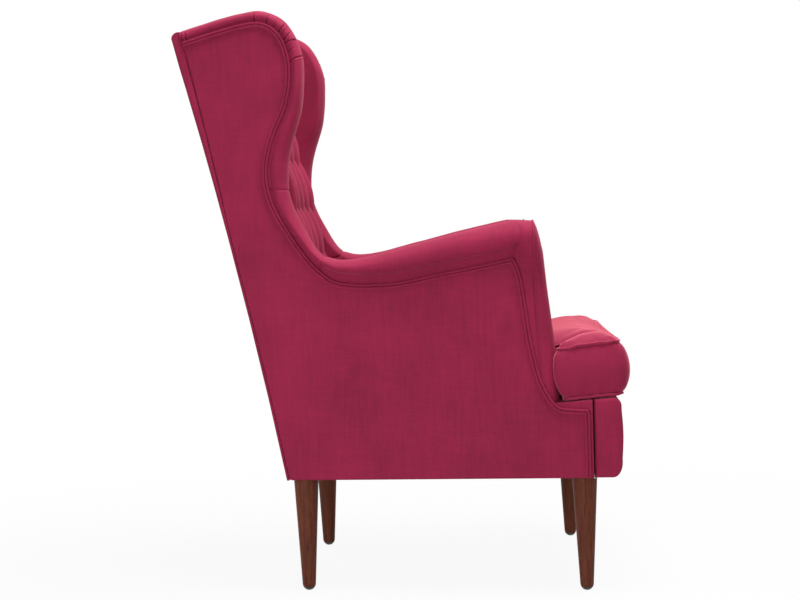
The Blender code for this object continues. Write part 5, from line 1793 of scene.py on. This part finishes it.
def dress_frame():
    """Give the timber, springs, bolts and zip slider of the frame their finishes."""
    along = {
        "front_rail": "beech_x", "rear_rail": "beech_x", "top_rail": "beech_x",
        "lower_back_rail": "beech_x", "side_rail": "beech_y", "arm_rail": "beech_y",
        "arm_post": "beech_z", "back_post": "beech_z", "wing_board": "beech_z",
        "front_leg_block": "beech_z", "rear_leg_block": "beech_z",
        "seat_spring": "spring_steel", "leg_bolt": "plated_steel", "zip_slider": "plated_steel",
    }
    for name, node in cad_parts.items():
        for start, finish in along.items():
            if name.startswith(start):
                for slot in node.material_slots:
                    slot.material = finish_of(finish)


# Studio

WHITE = (1.0, 1.0, 1.0)
PAPER_GREY = (0.58, 0.58, 0.58)


def add_lamp(name, place, aim, size, power):
    """A rectangular softbox turned towards a point."""
    lamp = bpy.data.lights.new(name, "AREA")
    lamp.shape = "RECTANGLE"
    lamp.size, lamp.size_y = size
    lamp.energy = power
    stand = add_object(name, lamp)
    stand.location = place
    stand.rotation_euler = (Vector(aim) - Vector(place)).to_track_quat("-Z", "Y").to_euler()


def backdrop_share(nodes):
    """1 for rays that see the backdrop itself, its mirror image or through glass to it."""
    camera, glossy, through = (
        nodes.node("ShaderNodeLightPath", out="Is %s Ray" % kind)
        for kind in ("Camera", "Glossy", "Transmission"))
    return nodes.math("MAXIMUM", nodes.math("MAXIMUM", camera, glossy), through)


def cleared(holder):
    """The empty node tree of a material or world, to be written as expressions."""
    holder.use_nodes = True
    holder.node_tree.nodes.clear()
    return Nodes(holder.node_tree)


def blend_shaders(nodes, output, share, first, second):
    """Mix two shaders and send them to the tree's output."""
    blend = nodes.node("ShaderNodeMixShader", None, {0: share, 1: first, 2: second})
    nodes.node(output, None, {"Surface": blend})


def add_floor(floor_white):
    """A paper floor that shows white, and takes the chair's shadow close to it."""
    reach = 40.0
    cells = 8
    places = np.linspace(-reach, reach, cells + 1)
    mesh = bpy.data.meshes.new("studio_floor")
    mesh.from_pydata([(x, y, 0.0) for y in places for x in places], [], grid_faces(cells, cells))
    paper = bpy.data.materials.new("studio_paper")
    nodes = cleared(paper)
    place = nodes.node("ShaderNodeTexCoord", out="Object")
    away = nodes.node("ShaderNodeVectorMath", {"operation": "LENGTH"}, {0: place}, out="Value")
    whiteness = nodes.node("ShaderNodeMapRange", None, {
        "Value": away, "From Min": 0.6, "From Max": 1.8, "To Min": floor_white, "To Max": 1.0})
    matt = nodes.node("ShaderNodeBsdfDiffuse", None, {"Color": PAPER_GREY})
    white = nodes.node("ShaderNodeEmission", None, {"Color": WHITE})
    share = backdrop_share(nodes) * whiteness
    blend_shaders(nodes, "ShaderNodeOutputMaterial", share, matt, white)
    mesh.materials.append(paper)
    add_object("studio_floor", mesh)


def add_world(ambient):
    """Even light all round, in front of a plain white backdrop."""
    world = bpy.data.worlds.new("studio_air")
    bpy.context.scene.world = world
    nodes = cleared(world)
    even, white = (
        nodes.node("ShaderNodeBackground", None, {"Color": WHITE, "Strength": strength})
        for strength in (ambient, 1.0))
    blend_shaders(nodes, "ShaderNodeOutputWorld", backdrop_share(nodes), even, white)


def add_camera(settings):
    """The camera at the chair's right side, aimed by its yaw, pitch and roll."""
    lens = bpy.data.cameras.new("studio_camera")
    lens.lens = settings.lens
    lens.sensor_width = 36.0
    lens.clip_end = 200.0
    camera = add_object("studio_camera", lens)
    yaw, pitch, roll = settings.yaw, settings.pitch, settings.roll
    forward = Vector((
        math.cos(yaw) * math.cos(pitch), math.sin(yaw) * math.cos(pitch), -math.sin(pitch)))
    right = forward.cross(Vector((0, 0, 1))).normalized()
    up = right.cross(forward)
    turn = Matrix((
        right * math.cos(roll) + up * math.sin(roll),
        up * math.cos(roll) - right * math.sin(roll),
        -forward)).transposed()
    camera.matrix_world = Matrix.Translation(settings.camera_place) @ turn.to_4x4()
    bpy.context.scene.camera = camera


def add_studio(settings):
    """Floor, air, lamps and camera."""
    add_floor(settings.floor_white)
    add_world(settings.ambient)
    add_lamp("overhead_softbox", (-0.45, -0.6, 3.0), (0, -0.1, 0.55), (1.9, 1.9), settings.overhead)
    add_lamp("side_softbox", (-2.9, 0.9, 0.58), (0, 0, 0.34), (1.5, 1.0), settings.side)
    add_lamp("rear_fill", (2.4, 1.6, 1.9), (0, 0, 0.6), (1.6, 1.6), settings.fill)
    add_camera(settings)
    bpy.context.scene.view_settings.view_transform = "Standard"


# Settings

def size_setting(name, description, default):
    """A length in metres that a user may change."""
    return FloatProperty(
        name=name, description=description, default=default, unit="LENGTH", precision=4)


def number_setting(name, description, default, **kind):
    """A plain number, share, angle or power that a user may change."""
    return FloatProperty(name=name, description=description, default=default, **kind)


def colour_setting(name, description, default):
    """A colour that a user may change."""
    return FloatVectorProperty(
        name=name, description=description, default=default, subtype="COLOR", min=0.0, max=1.0)


class ArmchairCovers(bpy.types.PropertyGroup):
    """Sizes of the fixed covers."""

    welt_radius: size_setting("Welt radius", "Radius of each covered cord", 0.0025)
    welt_pitch: size_setting(
        "Welt pitch", "Distance between the two cords of the double welt", 0.0054)
    pleat_lip: size_setting(
        "Pleat lip", "Height of the folds round the top corner of the wing", 0.0033)
    seam_depth: size_setting("Seam depth", "How far a sewn seam is drawn in", 0.0016)
    pillow_depth: size_setting(
        "Pillow depth", "Depth of the creases between the tufted pillows", 0.025)
    button_pull: size_setting(
        "Button pull", "How far a button draws the cover in below its creases", 0.0085)
    button_radius: size_setting("Button radius", "Radius of a covered button", 0.0105)


class ArmchairCushion(bpy.types.PropertyGroup):
    """Shape of the loose cushion."""

    crown: size_setting("Crown", "Rise of the middle of the cushion above its top seam", 0.0228)
    pressure: number_setting("Pressure", "Air pressure of the filling in the simulation", 4.0)
    frames: IntProperty(name="Frames", description="Length of the simulation", default=20)
    swell_limit: size_setting("Swell limit", "Most that the simulation may move the cover", 0.006)
    gather_depth: size_setting(
        "Gather depth", "Height of the small gathers along the seams", 0.0007)


class ArmchairFinishes(bpy.types.PropertyGroup):
    """Colours of the materials."""

    velvet_colour: colour_setting(
        "Velvet", "Colour of the velvet seen straight on", (0.240, 0.0105, 0.0450))
    sheen_tint: colour_setting(
        "Velvet sheen", "Colour of the pile seen at a slant", (1.0, 0.30, 0.42))
    velvet_sheen: number_setting("Sheen", "Strength of the velvet's sheen", 0.17, subtype="FACTOR")
    cushion_sheen: number_setting(
        "Cushion sheen", "Strength of the sheen on the loose cushion", 0.70, subtype="FACTOR")
    walnut_light: colour_setting(
        "Walnut, light", "Light bands of the leg timber", (0.185, 0.050, 0.0235))
    walnut_dark: colour_setting(
        "Walnut, dark", "Dark bands of the leg timber", (0.046, 0.0120, 0.0075))
    beech_light: colour_setting(
        "Beech, light", "Light bands of the frame timber", (0.66, 0.46, 0.29))
    beech_dark: colour_setting("Beech, dark", "Dark bands of the frame timber", (0.48, 0.30, 0.17))


class ArmchairStudio(bpy.types.PropertyGroup):
    """Camera, lamps and backdrop."""

    lens: number_setting("Lens", "Focal length", 90.0, unit="CAMERA")
    camera_place: FloatVectorProperty(
        name="Camera place", description="Where the camera stands", subtype="TRANSLATION",
        unit="LENGTH", default=(-3.97783, -0.13805, 0.68968), precision=5)
    yaw: number_setting(
        "Yaw", "Turn of the camera from the chair's side", 0.037172, subtype="ANGLE")
    pitch: number_setting("Pitch", "How far the camera looks down", 0.040439, subtype="ANGLE")
    roll: number_setting("Roll", "Tilt of the camera about its axis", -0.026960, subtype="ANGLE")
    overhead: number_setting("Overhead lamp", "Power of the overhead softbox", 128.0, unit="POWER")
    side: number_setting("Side lamp", "Power of the softbox beside the camera", 37.0, unit="POWER")
    fill: number_setting("Rear fill", "Power of the lamp behind the chair", 16.0, unit="POWER")
    ambient: number_setting("Ambient", "Strength of the even light all round", 0.27)
    floor_white: number_setting(
        "Floor whiteness", "How much of the paper floor shows as plain white", 0.93,
        subtype="FACTOR")


SETTINGS = {
    "armchair_covers": ArmchairCovers,
    "armchair_cushion": ArmchairCushion,
    "armchair_finishes": ArmchairFinishes,
    "armchair_studio": ArmchairStudio,
}


# Operators

class ARMCHAIR_OT_frame(bpy.types.Operator):
    """Give the timber, springs and metal of the frame their finishes"""

    bl_idname = "armchair.frame"
    bl_label = "Finish the frame"

    def execute(self, context):
        dress_frame()
        return {"FINISHED"}


class ARMCHAIR_OT_side_panels(bpy.types.Operator):
    """Cover the outsides of the arms and wings"""

    bl_idname = "armchair.side_panels"
    bl_label = "Outside panels"

    def execute(self, context):
        for side, name in SIDES:
            add_side_panel(side, name)
        return {"FINISHED"}


class ARMCHAIR_OT_double_welts(bpy.types.Operator):
    """Run the double welt round each side"""

    bl_idname = "armchair.double_welts"
    bl_label = "Double welts"

    def execute(self, context):
        covers = context.scene.armchair_covers
        for side, name in SIDES:
            add_side_welt(side, name, covers.welt_radius, covers.welt_pitch)
        return {"FINISHED"}


class ARMCHAIR_OT_wings_and_arms(bpy.types.Operator):
    """Cover the rolls and inner faces of the wings and arms"""

    bl_idname = "armchair.wings_and_arms"
    bl_label = "Wings and arms"

    def execute(self, context):
        covers = context.scene.armchair_covers
        for side, name in SIDES:
            for part in ("wing", "arm"):
                add_cover(side, name, part, covers.pleat_lip, covers.seam_depth)
        return {"FINISHED"}


class ARMCHAIR_OT_arm_fronts(bpy.types.Operator):
    """Cover the fronts of the arms with their welted facings"""

    bl_idname = "armchair.arm_fronts"
    bl_label = "Arm fronts"

    def execute(self, context):
        for side, name in SIDES:
            add_arm_front(side, name, context.scene.armchair_covers.welt_radius)
        return {"FINISHED"}


class ARMCHAIR_OT_base(bpy.types.Operator):
    """Cover the toes of the base and the border under the cushion"""

    bl_idname = "armchair.base"
    bl_label = "Base covers"

    def execute(self, context):
        for side, name in SIDES:
            add_base_corner(side, name)
        add_front_border()
        add_toe_tacks()
        return {"FINISHED"}


class ARMCHAIR_OT_outside_back(bpy.types.Operator):
    """Cover the outside of the back"""

    bl_idname = "armchair.outside_back"
    bl_label = "Outside back"

    def execute(self, context):
        add_outside_back()
        return {"FINISHED"}


class ARMCHAIR_OT_tufted_back(bpy.types.Operator):
    """Cover the inside back with diamond tufting and its buttons"""

    bl_idname = "armchair.tufted_back"
    bl_label = "Tufted back"

    def execute(self, context):
        covers = context.scene.armchair_covers
        add_tufted_back(covers.pillow_depth, covers.button_pull)
        add_buttons(covers.button_radius, covers.pillow_depth, covers.button_pull)
        return {"FINISHED"}


class ARMCHAIR_OT_cushion(bpy.types.Operator):
    """Make the loose cushion with its piping and zip"""

    bl_idname = "armchair.cushion"
    bl_label = "Loose cushion"

    def execute(self, context):
        add_seat_cushion(context.scene.armchair_cushion)
        add_cushion_welts(context.scene.armchair_covers.welt_radius)
        add_zip()
        return {"FINISHED"}


class ARMCHAIR_OT_linings(bpy.types.Operator):
    """Make the seat deck, the back lining and the cloth under the base"""

    bl_idname = "armchair.linings"
    bl_label = "Deck and linings"

    def execute(self, context):
        add_seat_deck()
        add_dust_cover()
        add_back_lining()
        return {"FINISHED"}


class ARMCHAIR_OT_legs(bpy.types.Operator):
    """Turn the four legs and their glides"""

    bl_idname = "armchair.legs"
    bl_label = "Turned legs"

    def execute(self, context):
        add_legs()
        return {"FINISHED"}


class ARMCHAIR_OT_studio(bpy.types.Operator):
    """Set up the floor, lamps and camera"""

    bl_idname = "armchair.studio"
    bl_label = "Studio"

    def execute(self, context):
        add_studio(context.scene.armchair_studio)
        return {"FINISHED"}


STEPS = (
    ARMCHAIR_OT_studio,
    ARMCHAIR_OT_frame,
    ARMCHAIR_OT_side_panels,
    ARMCHAIR_OT_double_welts,
    ARMCHAIR_OT_wings_and_arms,
    ARMCHAIR_OT_arm_fronts,
    ARMCHAIR_OT_base,
    ARMCHAIR_OT_outside_back,
    ARMCHAIR_OT_tufted_back,
    ARMCHAIR_OT_linings,
    ARMCHAIR_OT_legs,
    ARMCHAIR_OT_cushion,
)


class ARMCHAIR_PT_panel(bpy.types.Panel):
    """Lists the steps and sizes of the armchair."""

    bl_idname = "ARMCHAIR_PT_panel"
    bl_label = "Armchair"
    bl_space_type = "VIEW_3D"
    bl_region_type = "UI"
    bl_category = "Armchair"

    def draw(self, context):
        layout = self.layout
        for step in STEPS:
            layout.operator(step.bl_idname)
        for holder, group in SETTINGS.items():
            box = layout.box()
            box.label(text=group.__doc__)
            for name in group.__annotations__:
                box.prop(getattr(context.scene, holder), name)


def register():
    """Make the settings, steps and panel known."""
    for group in SETTINGS.values():
        bpy.utils.register_class(group)
    for holder, group in SETTINGS.items():
        setattr(bpy.types.Scene, holder, PointerProperty(type=group))
    for step in STEPS:
        bpy.utils.register_class(step)
    bpy.utils.register_class(ARMCHAIR_PT_panel)


def unregister():
    """Take them away again."""
    bpy.utils.unregister_class(ARMCHAIR_PT_panel)
    for step in reversed(STEPS):
        bpy.utils.unregister_class(step)
    for holder, group in SETTINGS.items():
        delattr(bpy.types.Scene, holder)
        bpy.utils.unregister_class(group)


def main():
    """Build the armchair step by step."""
    register()
    for step in STEPS:
        group, name = step.bl_idname.split(".")
        getattr(getattr(bpy.ops, group), name)()


if __name__ == "__main__":
    main()
